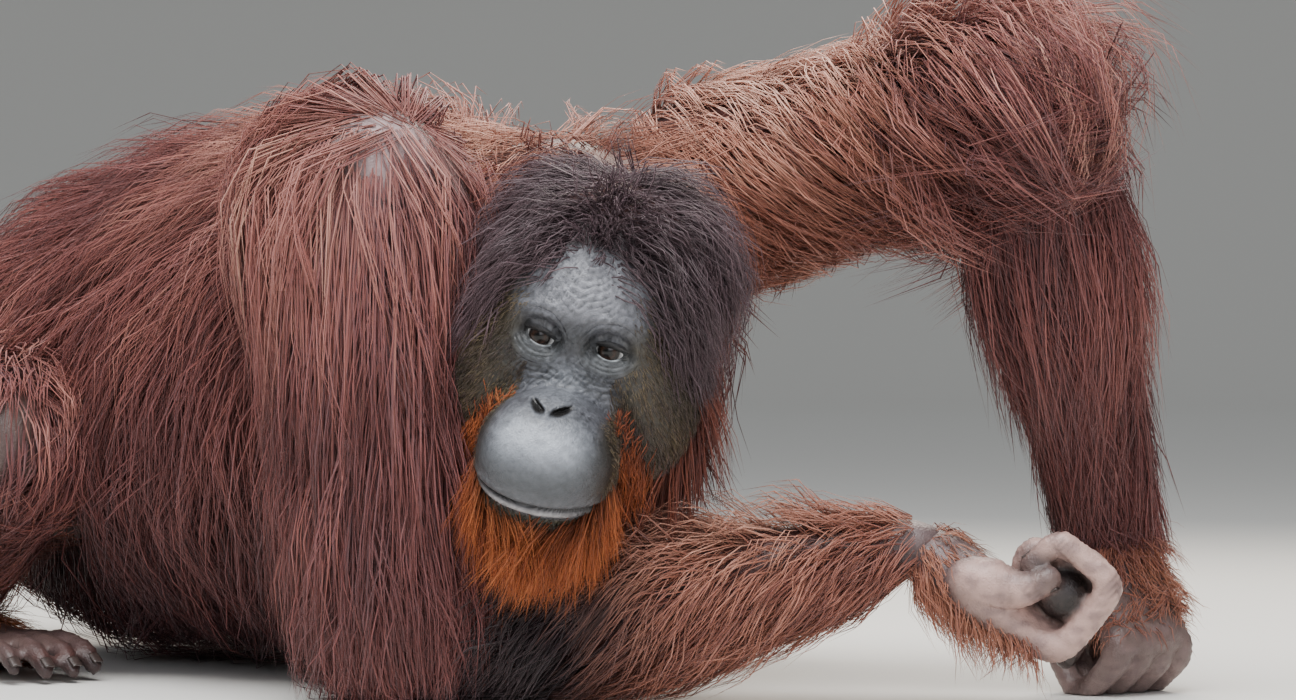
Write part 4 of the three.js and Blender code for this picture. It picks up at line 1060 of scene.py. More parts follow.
def tufts(name, slot, material, lines, widths, facing, uv, root_colour, tip_colour, shape="long", thick=0.42):
    """One coat piece: a flat three-sided tapered tuft along each line."""
    places, taper = TUFT_SHAPES[shape]
    n, rings = len(lines), len(taper)
    way = unit(np.gradient(lines, axis=1))
    side = unit(np.cross(way, facing[:, None]))
    rise = np.cross(side, way)
    half = widths[:, None, None] * np.array(taper)[None, :, None]
    centre = lines[:, :rings]
    corners = np.stack([
        centre - side[:, :rings] * half - rise[:, :rings] * half * thick * 0.4,
        centre + side[:, :rings] * half - rise[:, :rings] * half * thick * 0.4,
        centre + rise[:, :rings] * half * thick,
    ], axis=2).reshape(n, rings * 3, 3)
    points = np.concatenate([corners, lines[:, -1:]], axis=1)
    points[..., 2] = np.maximum(points[..., 2], 0.4)
    count = rings * 3 + 1
    base = (np.arange(n) * count)[:, None, None]
    quads = np.array([[r * 3 + k, r * 3 + (k + 1) % 3, r * 3 + 3 + (k + 1) % 3, r * 3 + 3 + k]
                      for r in range(rings - 1) for k in range(3)])
    ends = np.array([[(rings - 1) * 3 + k, (rings - 1) * 3 + (k + 1) % 3, rings * 3] for k in range(3)]
                    + [[2, 1, 0]])
    column = np.array([0, 1, 0.5] * rings + [0.5])
    row = np.append(np.repeat(np.array(places[:rings]), 3), 1)
    patch = np.column_stack([column - 0.5, row - 0.5]) * PATCH
    shade = np.append(np.repeat(np.array(places[:rings]), 3), 1)[None, :, None]
    colours = mix(root_colour[:, None], tip_colour[:, None], shade).reshape(-1, 3)
    faces = [(quads[None, :, ::-1] + base).reshape(-1, 4), (ends[None, :, ::-1] + base).reshape(-1, 3)]
    piece = mesh_object(name, points.reshape(-1, 3), faces, np.clip(colours, 0, 1),
                        (uv[:, None] + patch[None]).reshape(-1, 2))
    piece.data.materials.append(material)
    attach(piece, "root")
    return piece


def chart(cell, cells, u, v):
    """A place on the map of one coat piece: each limb has a column of its own."""
    return np.column_stack([(cell + 0.03 + 0.94 * u) / cells, 0.02 + 0.96 * v])


def grown(name, limb, locks, hairs, t, angles, length, flow, spread, depth=(0.25, 1.0), clump=0.65,
          frizz=0.05, shape="long", cell=(0, 1), keep=None, short=(0.7, 1.05), fullness=None, **laid):
    """Hairs in locks over one limb: lines, ways out, roots, map places and the lock that each is in."""
    tt = limb.draw_t(locks, *t)
    aa = np.radians(rng.uniform(angles[0], angles[1], locks))
    ring, root, out = limb.surface(tt, aa)
    if keep is not None:
        kept = keep(root, out)
        tt, aa = tt[kept], aa[kept]
        ring, root, out = limb.surface(tt, aa)
    full = limb.ring(tt, 1.0)
    coat_depth = ((full["w"] - ring["w"] + full["h"] - ring["h"]) / 2)[:, 0]
    layer = rng.uniform(depth[0], depth[1], len(tt)) * (1 if fullness is None else fullness(tt))
    reach = length(tt, aa, root, out) * rng.uniform(0.85, 1.15, len(tt))
    lines = lay(name, root, out, flow(tt, aa, root, out, ring), reach, coat_depth * layer, **laid)
    return hairs_of(limb, lines, tt, aa, root, hairs, spread, clump, frizz, shape, cell, short, t,
                    coat_depth * layer)


def strands(lines, lock, root, hair_root, hair_out, depth, reach, deepest, clump, frizz, shape, short, runs_on):
    """The hairs of each lock, which start apart, gather towards its tip and stray a little."""
    shares = np.array(TUFT_SHAPES[shape][0])
    full = rng.uniform(short[0], short[1], len(lock))
    place = shares[None] * full[:, None]
    guide = along_lines(lines[lock], np.minimum(place, 1))
    if runs_on:
        beyond = np.maximum(place - 1, 0)[..., None]
        guide = guide + beyond * (lines[lock, -1] - lines[lock, -3])[:, None] * LAY_STEPS / 2
    apart = (hair_root - root[lock])[:, None] * (1 - clump * smooth(shares, 0, 0.9))[None, :, None]
    down = -hair_out[:, None] * (rng.uniform(0, deepest, len(lock))[:, None] * depth[lock][:, None]
                                 * np.minimum(shares * 2.6, 1)[None])[..., None]
    stray = rng.normal(0, 1, (len(lock), 1, 3)) * (reach[lock][:, None, None] * frizz)
    wave = rng.normal(0, 1, (len(lock), len(shares), 3)) * (reach[lock][:, None, None] * frizz * 0.4)
    path = guide + apart + down + (stray + wave) * (shares ** 1.5)[None, :, None]
    path[:, 0] = hair_root - hair_out * 2
    path = inside_box(path, COAT_ROOM + 4)
    facing = unit(hair_out + rng.normal(0, 0.28, hair_out.shape))
    return dict(lines=path, facing=facing, root=hair_root, lock=lock, shape=shape, lock_root=root, out=hair_out)


def hairs_of(limb, lines, tt, aa, root, hairs, spread, clump, frizz, shape, cell, short, t, depth):
    """Each lock's own hairs on a limb, with their places on the map."""
    lock = np.repeat(np.arange(len(tt)), hairs)
    ring = limb.ring(tt)
    girth = (ring["w"] + ring["h"])[:, 0] / 2
    span = np.linalg.norm(limb.at[-1] - limb.at[0])
    hair_t = tt[lock] + rng.normal(0, 1, len(lock)) * (spread / span)
    hair_a = aa[lock] + rng.normal(0, 1, len(lock)) * (spread / girth[lock])
    hair_t = np.clip(hair_t, t[0] - 0.02, t[1] + 0.02)
    _, hair_root, hair_out = limb.surface(hair_t, hair_a)
    reach = np.linalg.norm(lines[:, -1] - lines[:, 0], axis=1)
    hair = strands(lines, lock, root, hair_root, hair_out, depth, reach, 0.55, clump, frizz, shape, short, True)
    u = (hair_a / (2 * math.pi)) % 1
    v = np.clip((hair_t + 1) / 3, 0, 1)
    hair["uv"] = chart(*cell, u, v)
    return hair


def together(parts):
    """Hairs of several limbs as one set."""
    whole, locks = {}, 0
    for part in parts:
        part["lock"] = part["lock"] + locks
        locks += len(part["lock_root"])
    for key in ("lines", "facing", "uv", "root", "lock", "lock_root", "out"):
        whole[key] = np.concatenate([part[key] for part in parts])
    whole["shape"] = parts[0]["shape"]
    return whole


def tuft_colours(hair, stops, seed, slow=150, tip=1.06, root=0.78, lit=0.24, over=None):
    """A colour for each hair's root and tip: slow drift over the coat, then by lock, then by hair.

    Hair that faces up is made lighter by lit, a painted top light falling from above, and over lays a second
    range of colours on a share of it.
    """
    n, locks = len(hair["root"]), len(hair["lock_root"])
    by_lock = rng.normal(0, 0.085, locks)[hair["lock"]]
    share = 0.4 + 0.19 * drift(hair["root"], slow, seed) + by_lock + rng.normal(0, 0.035, n)
    # Painted top light: hair that faces up is made lighter.
    share = share + lit * smooth(hair["out"][:, 2], 0.1, 0.95)
    colour = ramp(stops, share)
    if over is not None:
        colour = mix(colour, ramp(over[0], share), np.clip(over[1](hair["root"]), 0, 1)[:, None])
    light = rng.uniform(0.93, 1.07, n)[:, None]
    # Roots darker than tips: partly the hair's own colour, partly painted shade deep in the coat.
    return colour * root * light, np.minimum(colour * tip * light, 1)


def coat_piece(name, slot, material, hair, width, stops, seed, **colouring):
    n = len(hair["lines"])
    widths = rng.uniform(width[0], width[1], n)
    piece = tufts(name, slot, material, hair["lines"], widths, hair["facing"], hair["uv"],
                  *tuft_colours(hair, stops, seed, **colouring), shape=hair["shape"])
    return piece


# Hair on the head
def head_surface(ways):
    """Points of the head, their ways out, and both in the head's own frame."""
    local = head_points(ways)
    step = np.eye(3)
    slope = np.column_stack([head_distance(local + e) - head_distance(local - e) for e in step])
    out = unit(slope)
    return on_head(local), head_way(out), local, out


def head_chart(local):
    """A map of the head's skin, unrolled about the way that the face looks."""
    way = unit(local - HEAD_CORE)
    polar = np.arccos(np.clip(-way[:, 1], -1, 1)) / math.pi
    turn = np.arctan2(way[:, 2], way[:, 0])
    return np.column_stack([0.5 + 0.47 * polar * np.cos(turn), 0.5 + 0.47 * polar * np.sin(turn)])


def random_ways(count, widest=180):
    low = math.cos(math.radians(widest))
    y = rng.uniform(low, 1, count)
    turn = rng.uniform(0, 2 * math.pi, count)
    r = np.sqrt(1 - y * y)
    return np.column_stack([r * np.cos(turn), -y, r * np.sin(turn)])


def head_locks(count, hairs, keep, flow, length, spread, depth, clump=0.6, frizz=0.05, shape="long",
               short=(0.7, 1.05), **laid):
    ways = random_ways(count * 12)
    local = head_points(ways)
    ways = ways[keep(local)][:count]
    root, out, local, local_out = head_surface(ways)
    way = head_way(unit(flow(local, local_out)))
    reach = length(local) * rng.uniform(0.85, 1.15, len(ways))
    layer = depth(local) * rng.uniform(0.25, 1.0, len(ways))
    lines = lay("head", root, out, way, reach, layer, **laid)
    lock = np.repeat(np.arange(len(ways)), hairs)
    hair_ways = unit(local[lock] + rng.normal(0, 1, (len(lock), 3)) * spread - HEAD_CORE)
    hair_root, hair_out, hair_local, _ = head_surface(hair_ways)
    hair = strands(lines, lock, root, hair_root, hair_out, layer, reach, 0.5, clump, frizz, shape, short, False)
    hair["uv"] = head_chart(hair_local)
    return hair


def short_hairs(count, keep, flow, length, lift, widest=110):
    """Single short hairs on the face."""
    ways = random_ways(count * 6, widest)
    local = head_points(ways)
    ways = ways[keep(local)][:count]
    local = head_points(ways)
    relief = face_relief(local)
    root, out, _, local_out = head_surface(ways)
    root = root + head_way(ways) * relief[:, None]
    way = unit(flow(local, local_out) + rng.normal(0, 0.16, local.shape))
    way = head_way(way)
    way = unit(unit(way - out * dot(way, out)) + out * lift)
    reach = (length(local) * rng.uniform(0.6, 1.2, len(local)))[:, None]
    middle = root + way * reach * 0.5
    tip = middle + unit(way - out * lift * 0.8 + DOWN * 0.2) * reach * 0.5
    lines = np.stack([root - out * 1.2, middle, tip], 1)
    n = len(root)
    facing = unit(out + rng.normal(0, 0.4, out.shape))
    return dict(lines=lines, facing=facing, uv=head_chart(local), root=root, lock=np.arange(n), shape="fuzz",
                lock_root=root, out=out)


# Materials
def node(tree, kind, settings=(), inputs=()):
    """Adds a node with its settings, and values or links for its inputs."""
    made = tree.nodes.new(kind)
    for key, value in dict(settings).items():
        setattr(made, key, value)
    for key, value in dict(inputs).items():
        socket = made.inputs[key]
        if isinstance(value, bpy.types.NodeSocket):
            tree.links.new(value, socket)
        else:
            socket.default_value = value
    return made


def material(name):
    """An empty material and its tree, with the output node in place."""
    made = bpy.data.materials.new(name)
    made.use_nodes = True
    tree = made.node_tree
    tree.nodes.clear()
    return made, tree, node(tree, "ShaderNodeOutputMaterial")


def rgba(hex_colour):
    return (*linear(hex_colour), 1)


# Long fine hair: it shines softly along the locks
def hair_finish(name, roughness, sheen):
    made, tree, output = material(name)
    tint = node(tree, "ShaderNodeAttribute", dict(attribute_name="tint"))
    place = node(tree, "ShaderNodeTexCoord")
    strand_width = 0.004
    mottle = node(tree, "ShaderNodeTexNoise", dict(noise_dimensions="3D"),
                  {"Vector": place.outputs["Object"], "Scale": 1 / strand_width, "Detail": 2.0})
    light = node(tree, "ShaderNodeMapRange", (), {"Value": mottle.outputs[0], "To Min": 0.82, "To Max": 1.18})
    colour = node(tree, "ShaderNodeVectorMath", dict(operation="SCALE"),
                  {0: tint.outputs["Color"], "Scale": light.outputs[0]})
    shader = node(tree, "ShaderNodeBsdfPrincipled", (), {
        "Base Color": colour.outputs[0], "Roughness": roughness, "IOR": 1.55, "Specular IOR Level": 0.4,
        "Sheen Weight": sheen, "Sheen Roughness": 0.4, "Sheen Tint": rgba("#dcbcc6"),
    })
    tree.links.new(shader.outputs[0], output.inputs[0])
    return made


# Bare skin: leathery and finely creased, with a soft shine; the highlight on the muzzle is painted into the
# skin's colour
def skin_finish():
    made, tree, output = material("leathery bare skin")
    tint = node(tree, "ShaderNodeAttribute", dict(attribute_name="tint"))
    place = node(tree, "ShaderNodeTexCoord")
    pebble = 0.0024  # coarser than real, so that it shows
    grain = node(tree, "ShaderNodeTexVoronoi", dict(feature="DISTANCE_TO_EDGE"),
                 {"Vector": place.outputs["Object"], "Scale": 1 / pebble})
    crease = node(tree, "ShaderNodeTexNoise", (),
                  {"Vector": place.outputs["Object"], "Scale": 260.0, "Detail": 4.0, "Roughness": 0.6})
    blotch = node(tree, "ShaderNodeTexNoise", (),
                  {"Vector": place.outputs["Object"], "Scale": 60.0, "Detail": 3.0})
    height = node(tree, "ShaderNodeMath", dict(operation="MULTIPLY_ADD"),
                  {0: grain.outputs[0], 1: 0.8, 2: crease.outputs[0]})
    relief = node(tree, "ShaderNodeBump", (),
                  {"Height": height.outputs[0], "Distance": 0.0009, "Strength": 0.7})
    light = node(tree, "ShaderNodeMapRange", (), {"Value": blotch.outputs[0], "To Min": 0.8, "To Max": 1.2})
    colour = node(tree, "ShaderNodeVectorMath", dict(operation="SCALE"),
                  {0: tint.outputs["Color"], "Scale": light.outputs[0]})
    dull = node(tree, "ShaderNodeMapRange", (), {"Value": crease.outputs[0], "To Min": 0.3, "To Max": 0.5})
    shader = node(tree, "ShaderNodeBsdfPrincipled", (), {
        "Base Color": colour.outputs[0], "Roughness": dull.outputs[0], "IOR": 1.45,
        "Specular IOR Level": 0.55, "Normal": relief.outputs[0],
    })
    tree.links.new(shader.outputs[0], output.inputs[0])
    return made


# Wet eye: a dark brown iris round a black pupil, brown beyond it, white at the lower rim
def eye_finish():
    made, tree, output = material("wet eye")
    far = node(tree, "ShaderNodeAttribute", dict(attribute_name="from_pupil"))
    rim = node(tree, "ShaderNodeAttribute", dict(attribute_name="white"))
    place = node(tree, "ShaderNodeTexCoord")
    fibres = node(tree, "ShaderNodeTexNoise", (),
                  {"Vector": place.outputs["Object"], "Scale": 900.0, "Detail": 3.0})
    stops = node(tree, "ShaderNodeValToRGB")
    far_share = node(tree, "ShaderNodeMapRange", (), {"Value": far.outputs["Fac"], "From Max": 12.0})
    tree.links.new(far_share.outputs[0], stops.inputs[0])
    ramp_stops = stops.color_ramp
    for place_at, colour in ((0.0, "#020202"), (0.2, "#020202"), (0.25, "#150c08"), (0.42, "#2a1a11"),
                             (0.55, "#170f0b"), (0.66, "#100c0a"), (1.0, "#221915")):
        stop = ramp_stops.elements.new(place_at)
        stop.color = rgba(colour)
    ramp_stops.elements.remove(ramp_stops.elements[-1])
    ramp_stops.elements.remove(ramp_stops.elements[0])
    light = node(tree, "ShaderNodeMapRange", (), {"Value": fibres.outputs[0], "To Min": 0.6, "To Max": 1.4})
    iris = node(tree, "ShaderNodeVectorMath", dict(operation="SCALE"),
                {0: stops.outputs[0], "Scale": light.outputs[0]})
    whole = node(tree, "ShaderNodeMix", dict(data_type="RGBA"),
                 {"Factor": rim.outputs["Fac"], 6: iris.outputs[0], 7: rgba("#cfc8c4")})
    shader = node(tree, "ShaderNodeBsdfPrincipled", (), {
        "Base Color": whole.outputs[2], "Roughness": 0.22, "IOR": 1.38, "Specular IOR Level": 0.35,
        "Coat Weight": 0.25, "Coat Roughness": 0.08,
    })
    tree.links.new(shader.outputs[0], output.inputs[0])
    return made


# Nail: dark horn with fine lines along it
def nail_finish():
    made, tree, output = material("dark nail horn")
    place = node(tree, "ShaderNodeTexCoord")
    lines = node(tree, "ShaderNodeTexNoise", (),
                 {"Vector": place.outputs["Object"], "Scale": 420.0, "Detail": 2.0})
    stops = node(tree, "ShaderNodeValToRGB", (), {0: lines.outputs[0]})
    stops.color_ramp.elements[0].color = rgba("#1d1716")
    stops.color_ramp.elements[1].color = rgba("#4d403c")
    relief = node(tree, "ShaderNodeBump", (),
                  {"Height": lines.outputs[0], "Distance": 0.0002, "Strength": 0.4})
    shader = node(tree, "ShaderNodeBsdfPrincipled", (), {
        "Base Color": stops.outputs[0], "Roughness": 0.35, "IOR": 1.54, "Normal": relief.outputs[0],
    })
    tree.links.new(shader.outputs[0], output.inputs[0])
    return made


HAIR = hair_finish("long coat hair", 0.5, 0.22)
BEARD_HAIR = hair_finish("beard hair", 0.6, 0.06)
SKIN = skin_finish()
EYE = eye_finish()
NAIL = nail_finish()


# The body's pieces
skin = build_skin()
skin.data.materials.append(SKIN)
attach(skin, "root")
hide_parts(*FLESH_NODES)

for side, way in (("right", -1), ("left", 1)):
    points, faces, from_pupil, white = eyeball(way)
    eye = mesh_object("eyeball_" + side, points, faces, extra={"from_pupil": from_pupil, "white": white})
    eye.data.materials.append(EYE)
    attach(eye, "root")
    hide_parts("eye_" + side)

nails = mesh_object("nails", *joined([
    nail_shell(d) for part in EXTREMITIES.values() for d in part["long"] + [part["short"]]
]))
nails.data.materials.append(NAIL)
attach(nails, "root")


# How the coat lies on each part
def flow_of(*terms):
    """A sum of ways, each a fixed way or one value for each root, times a share."""
    return sum(np.asarray(way) * (share if np.isscalar(share) else np.asarray(share)[:, None])
               for way, share in terms)


def parting(out, ring):
    """Which side of the limb a lock falls to, ragged along the middle."""
    return np.sign(dot(out, ring["side"])[:, 0] + rng.normal(0, 0.22, len(out)))


def trunk_flow(tt, aa, root, out, ring):
    """Back and down over the flanks, and parted to both sides over the shoulders."""
    up = np.maximum(out[:, 2], 0)
    parted = 0.9 * smooth(tt, 0.72, 0.95) * parting(out, ring)
    back = (0.35 + 0.6 * up) * (1 - 0.7 * smooth(tt, 0.8, 1.0))
    return flow_of((BACKWARD[None] * np.ones((len(tt), 1)), back), (DOWN[None], np.ones(len(tt))),
                   (ring["side"], parted))


def trunk_length(longest):
    return lambda tt, aa, root, out: longest * mix(1.15, 0.75, np.maximum(out[:, 2], 0))


def clear_of_others(*names):
    """Keeps only roots that stand free of the other parts, and few of them on the thin spots."""
    def keep(root, out):
        chance = np.ones(len(root))
        for at, radius, _, left in THIN_SPOTS:
            chance *= mix(left, 1, smooth(np.linalg.norm(root - at, axis=1), radius * 0.55, radius * 1.1))
        return (nearest(root, ~np.isin(OVER_NAMES, names))[0] > 5) & (rng.uniform(0, 1, len(root)) < chance)
    return keep


COAT = ["#331719", "#4e2725", "#653532", "#7b443f", "#93594f", "#ad7567", "#c4917f"]
TAN = ["#5f3428", "#80493a", "#9b614d", "#b27863", "#c69079", "#d8ab97"]
ORANGE = ["#4a2317", "#66341f", "#824829", "#9b5c36", "#b27347", "#c48b60"]
# Painted shade: colours for coat that lies in the head's shadow.
COAT_IN_SHADE = ["#120a0a", "#1d1010", "#2a1716", "#38201d"]
for part_name, t, longest in (
    ("coat_rump", (-0.92, 0.28), 175),
    ("coat_flank", (0.28, 0.6), 200),
    ("coat_shoulders", (0.6, 1.7), 190),
):
    hair = grown("trunk", TRUNK, 980, 10, t, (-60, 240), trunk_length(longest), trunk_flow, 13,
                 keep=clear_of_others("trunk"), droop=0.3, clump=0.45, frizz=0.025)
    coat_piece(part_name, "coat", HAIR, hair, (0.5, 0.85), COAT, 21,
               over=(TAN, lambda root: 0.85 * smooth(root[:, 2], 395, 455) * smooth(root[:, 0], -330, -180)))

to_elbow = unit(RIGHT_ELBOW - RIGHT_SHOULDER)
arm_hair = []
for locks, t, longest, down_arm, back_share in (
    (1040, (-0.45, 1.0), 235, 1.0, 0.22),
    (200, (-0.985, -0.3), 250, 0.25, 0.9),
):
    arm_hair.append(grown(
        "upper_arm_right", ARM_RIGHT, locks, 10, t, (0, 360),
        lambda tt, aa, root, out, longest=longest: mix(longest, 150, np.clip(tt, 0, 1)),
        lambda tt, aa, root, out, ring, down_arm=down_arm, back_share=back_share: flow_of(
            (to_elbow[None], np.full(len(tt), down_arm)), (BACKWARD[None], np.full(len(tt), back_share)),
            (out, np.full(len(tt), 0.12)), (DOWN[None], np.full(len(tt), 0.5))),
        12, keep=clear_of_others("upper_arm_right"), droop=0.3, clump=0.5, frizz=0.022, loose=14,
        cell=(len(arm_hair), 2)))
coat_piece("coat_upper_arm_right", "coat", HAIR, together(arm_hair), (0.5, 0.85), COAT, 22, lit=0.3)

to_elbow_back = unit(RIGHT_ELBOW - RIGHT_WRIST)
hair = grown(
    "forearm_right", FORE_RIGHT, 800, 10, (0, 1.0), (0, 360),
    lambda tt, aa, root, out: mix(75, 135, np.maximum(-out[:, 2], 0)) * mix(1, 0.6, smooth(tt, 0.7, 1.0)),
    lambda tt, aa, root, out, ring: flow_of((to_elbow_back[None], np.ones(len(tt))),
                                            (DOWN[None], np.full(len(tt), 0.4))),
    10, keep=clear_of_others("forearm_right"), droop=0.25, clump=0.45, frizz=0.04)
# The forearm's hair near the elbow is painted dark, a painted shadow of the head over it.
coat_piece("coat_forearm_right", "coat", HAIR, hair, (0.45, 0.8), TAN, 23, lit=0.2,
           over=(COAT_IN_SHADE, lambda root: 1 - smooth(root[:, 0], -50, 60)))

to_left_elbow = unit(LEFT_ELBOW - LEFT_SHOULDER)
arm_hair = []
for locks, t, angles, longest, rightward, down in (
    (800, (-0.5, 1.3), (0, 360), 190, 0.0, 0.2),
    (150, (0.6, 1.6), (0, 360), 240, 0.75, 0.9),
    (80, (0.0, 0.75), (215, 325), 200, 0.12, 1.7),
):
    arm_hair.append(grown(
        "upper_arm_left", ARM_LEFT, locks, 10, t, angles,
        lambda tt, aa, root, out, longest=longest: mix(135, longest, np.clip(tt, 0, 1)),
        lambda tt, aa, root, out, ring, rightward=rightward, down=down: flow_of(
            (to_left_elbow[None], np.full(len(tt), 1 - 0.4 * rightward)), (out, np.full(len(tt), 0.15)),
            (np.array([[1.0, 0, 0]]), np.full(len(tt), rightward)),
            (DOWN[None], down + 0.5 * np.maximum(-out[:, 2], 0) + 0.35 * smooth(tt, 0.9, 1.3))),
        13, keep=clear_of_others("upper_arm_left", "forearm_left"), droop=0.28, loose=16 + 40 * rightward,
        sway=0.04, clump=0.5, frizz=0.02, fullness=lambda tt: mix(0.3, 1.0, smooth(tt, 0.2, 0.85)),
        cell=(len(arm_hair), 3)))
coat_piece("coat_upper_arm_left", "coat", HAIR, together(arm_hair), (0.5, 0.85), COAT, 24, lit=0.5, tip=1.2,
           over=(TAN, lambda root: 0.95 * (1 - smooth(root[:, 0], 110, 240))))

hair = grown(
    "forearm_left", FORE_LEFT, 680, 10, (-0.3, 0.95), (0, 360),
    lambda tt, aa, root, out: mix(190, 100, np.clip(tt, 0, 1)),
    lambda tt, aa, root, out, ring: flow_of((DOWN[None], np.ones(len(tt))),
                                            (np.array([[1.0, 0, 0]]), np.full(len(tt), 0.1))),
    13, keep=clear_of_others("forearm_left", "upper_arm_left"), droop=0.3, loose=8, clump=0.5, frizz=0.03,
    fullness=lambda tt: mix(0.9, 0.15, smooth(tt, 0.1, 0.55)))
coat_piece("coat_forearm_left", "coat", HAIR, hair, (0.5, 0.85), COAT, 25, lit=0.1)

leg_hair = []
for cell, (limb_name, partner, locks, longest, share) in enumerate((
    ("thigh_right", "shank_right", 330, 115, 0.5), ("shank_right", "thigh_right", 230, 150, 1),
    ("thigh_left", "shank_left", 230, 125, 0.5), ("shank_left", "thigh_left", 170, 120, 1),
)):
    leg_hair.append(grown(
        limb_name, LIMBS[limb_name], locks, 10, (0.02, 1.97 if "thigh" in limb_name else 1.0), (0, 360),
        lambda tt, aa, root, out, longest=longest: np.full(len(tt), float(longest)),
        lambda tt, aa, root, out, ring, share=share: flow_of((ring["along"], np.full(len(tt), share)),
                                                             (DOWN[None], np.ones(len(tt)))),
        13, keep=clear_of_others(limb_name, partner), droop=0.25, clump=0.45, frizz=0.035, cell=(cell, 4)))
coat_piece("coat_legs", "coat", HAIR, together(leg_hair), (0.5, 0.9), COAT, 26,
           over=(ORANGE, lambda root: 1 - smooth(root[:, 2], 70, 170)))


def crown_flow(local, out):
    """The crown parts along its middle and falls to both sides."""
    x, y, z = local.T
    side = np.where(x + 6 + rng.normal(0, 9, len(x)) > 0, 1.0, -1.0)
    aside = mix(0.6, 1.0, smooth(np.abs(x), 4, 20)) * mix(1.0, 0.25, smooth(np.abs(x), 34, 72))
    return np.column_stack([side * aside, 0.05 + 0.35 * smooth(y, 30, 120), -0.7 - 0 * x])


def crown_length(longest, over_brow):
    """Hair near the front is only as long as keeps the forehead bare."""
    def length(p):
        front = over_brow + 0.85 * np.maximum(hairline(p), 0) + 1.5 * np.maximum(np.abs(p[:, 0]) - 8, 0)
        whole = mix(45, longest, smooth(p[:, 2], 5, 85))
        return np.where(p[:, 1] < 62, np.minimum(front, whole), whole)
    return length


crown = head_locks(
    740, 10, lambda p: (hairline(p) > -2) & (p[:, 2] > 2), crown_flow, crown_length(112, 13), 9,
    lambda p: mix(7, 30, smooth(p[:, 2], 20, 95)), droop=0.3, lift=0.25, clump=0.4, frizz=0.035)
part_line = head_locks(
    190, 11, lambda p: (hairline(p) > -3) & (np.abs(p[:, 0] + 3) < 28), crown_flow, crown_length(60, 11), 6,
    lambda p: np.full(len(p), 8.0), droop=0.2, lift=0.3, clump=0.35, frizz=0.07)
coat_piece("hair_crown", "head_coat", HAIR, together([crown, part_line]), (0.4, 0.7),
           ["#21161a", "#2f2226", "#3e2e33", "#4e3c41", "#624e52", "#7a6365"], 27, tip=1.35, lit=0.16)

neck = grown(
    "neck", NECK, 440, 10, (-0.3, 1.0), (0, 360),
    lambda tt, aa, root, out: np.full(len(tt), 100.0),
    lambda tt, aa, root, out, ring: flow_of(
        (ring["along"], np.full(len(tt), -0.2)), (DOWN[None], np.ones(len(tt))),
        (ring["side"], 0.6 * parting(out, ring))),
    12, keep=clear_of_others("neck", "trunk"), droop=0.25, lift=0.05, over=3, clump=0.4, frizz=0.02,
    cell=(0, 2), fullness=lambda tt: mix(1.7, 1.0, smooth(tt, 0.4, 0.9)))
behind_cheek = head_locks(
    160, 10,
    lambda p: (p[:, 1] > 48) & (p[:, 1] < 110) & (p[:, 2] < 5) & (p[:, 2] > -105) & (np.abs(p[:, 0]) > 40),
    lambda p, out: np.column_stack([p[:, 0] * 0.003, np.full(len(p), 0.1), np.full(len(p), -1.0)]),
    lambda p: np.full(len(p), 105.0), 8, lambda p: np.full(len(p), 12.0), droop=0.35, lift=0.2, loose=120,
    clump=0.5, frizz=0.03)
coat_piece("coat_neck", "coat", HAIR, together([neck, behind_cheek]), (0.5, 0.8),
           ["#4a2018", "#642f22", "#7e402d", "#95523a", "#a8684c"], 28,
           over=(TAN, lambda root: smooth(root[:, 2], 370, 430)))


def ring_of_beard(p):
    """The strip of skin round the muzzle and under the lip that carries the beard."""
    x, y, z = p.T
    fold = np.hypot(x * 0.98, (z + 80) * 1.02)
    ragged = rng.normal(0, 4, len(z))
    wide = np.where(x > 0, 10, 21) * smooth(-z, 52, 96)
    beside = (fold > 51) & (fold < 54 + wide + 0.5 * ragged) & (z < -48 + ragged) & (y < 34)
    below = (mouth_height(p) < -16 + 0.5 * ragged) & (z < -95) & (y < 34)
    return beside | below


def beard_flow(p, out):
    """Beside the muzzle the beard stands outwards, under the lip it hangs down."""
    x, y, z = p.T
    low = smooth(-z, 85, 115)
    aside = np.where(x > 0, 0.22, -0.5) * (1 - low) - 0.006 * x * low
    return np.column_stack([aside, -0.35 + 0.1 * low, -0.9 + 0 * x])


beard = head_locks(
    620, 11, ring_of_beard, beard_flow,
    lambda p: mix(9, 66, smooth(-p[:, 2], 52, 120)) * (1 - 0.35 * bump(p[:, 0], -14, 12) * (p[:, 2] < -100)), 5,
    lambda p: mix(2, 12, smooth(-p[:, 2], 60, 120)), shape="short", droop=0.24, lift=0.45, loose=150,
    clump=0.45, frizz=0.09, short=(0.45, 1.15))
coat_piece("beard", "beard", BEARD_HAIR, beard, (0.32, 0.6),
           ["#3f1c0e", "#6b3116", "#94481f", "#b0602f", "#c57a48", "#d89a6c"], 29, tip=1.25, root=0.42, lit=0.0,
           over=(["#2a120a", "#42200f", "#5c2e16", "#7a4222"],
                 lambda root: 0.75 * smooth(-root[:, 2], -150, -95)))

cheeks = short_hairs(
    8200, lambda p: (np.abs(p[:, 0]) > 31 + 0.12 * np.abs(p[:, 2] + 20)) & (p[:, 2] > -98) & (p[:, 2] < 46)
    & (p[:, 1] > -34) & (p[:, 1] < 95) & (np.hypot((np.abs(p[:, 0]) - 26), p[:, 2]) > 19)
    & (on_muzzle(p) > 1.1),
    lambda p, out: np.column_stack([np.sign(p[:, 0]) * 0.5, np.full(len(p), 0.3), np.full(len(p), -0.8)]),
    lambda p: mix(6, 12, smooth(np.abs(p[:, 0]), 40, 75)), 0.4)
coat_piece("hair_cheeks", "head_coat", HAIR, cheeks, (0.26, 0.46),
           ["#120f09", "#292315", "#463c26", "#6c5e3f", "#a08e68"], 30, tip=1.5, slow=40, lit=0.1)

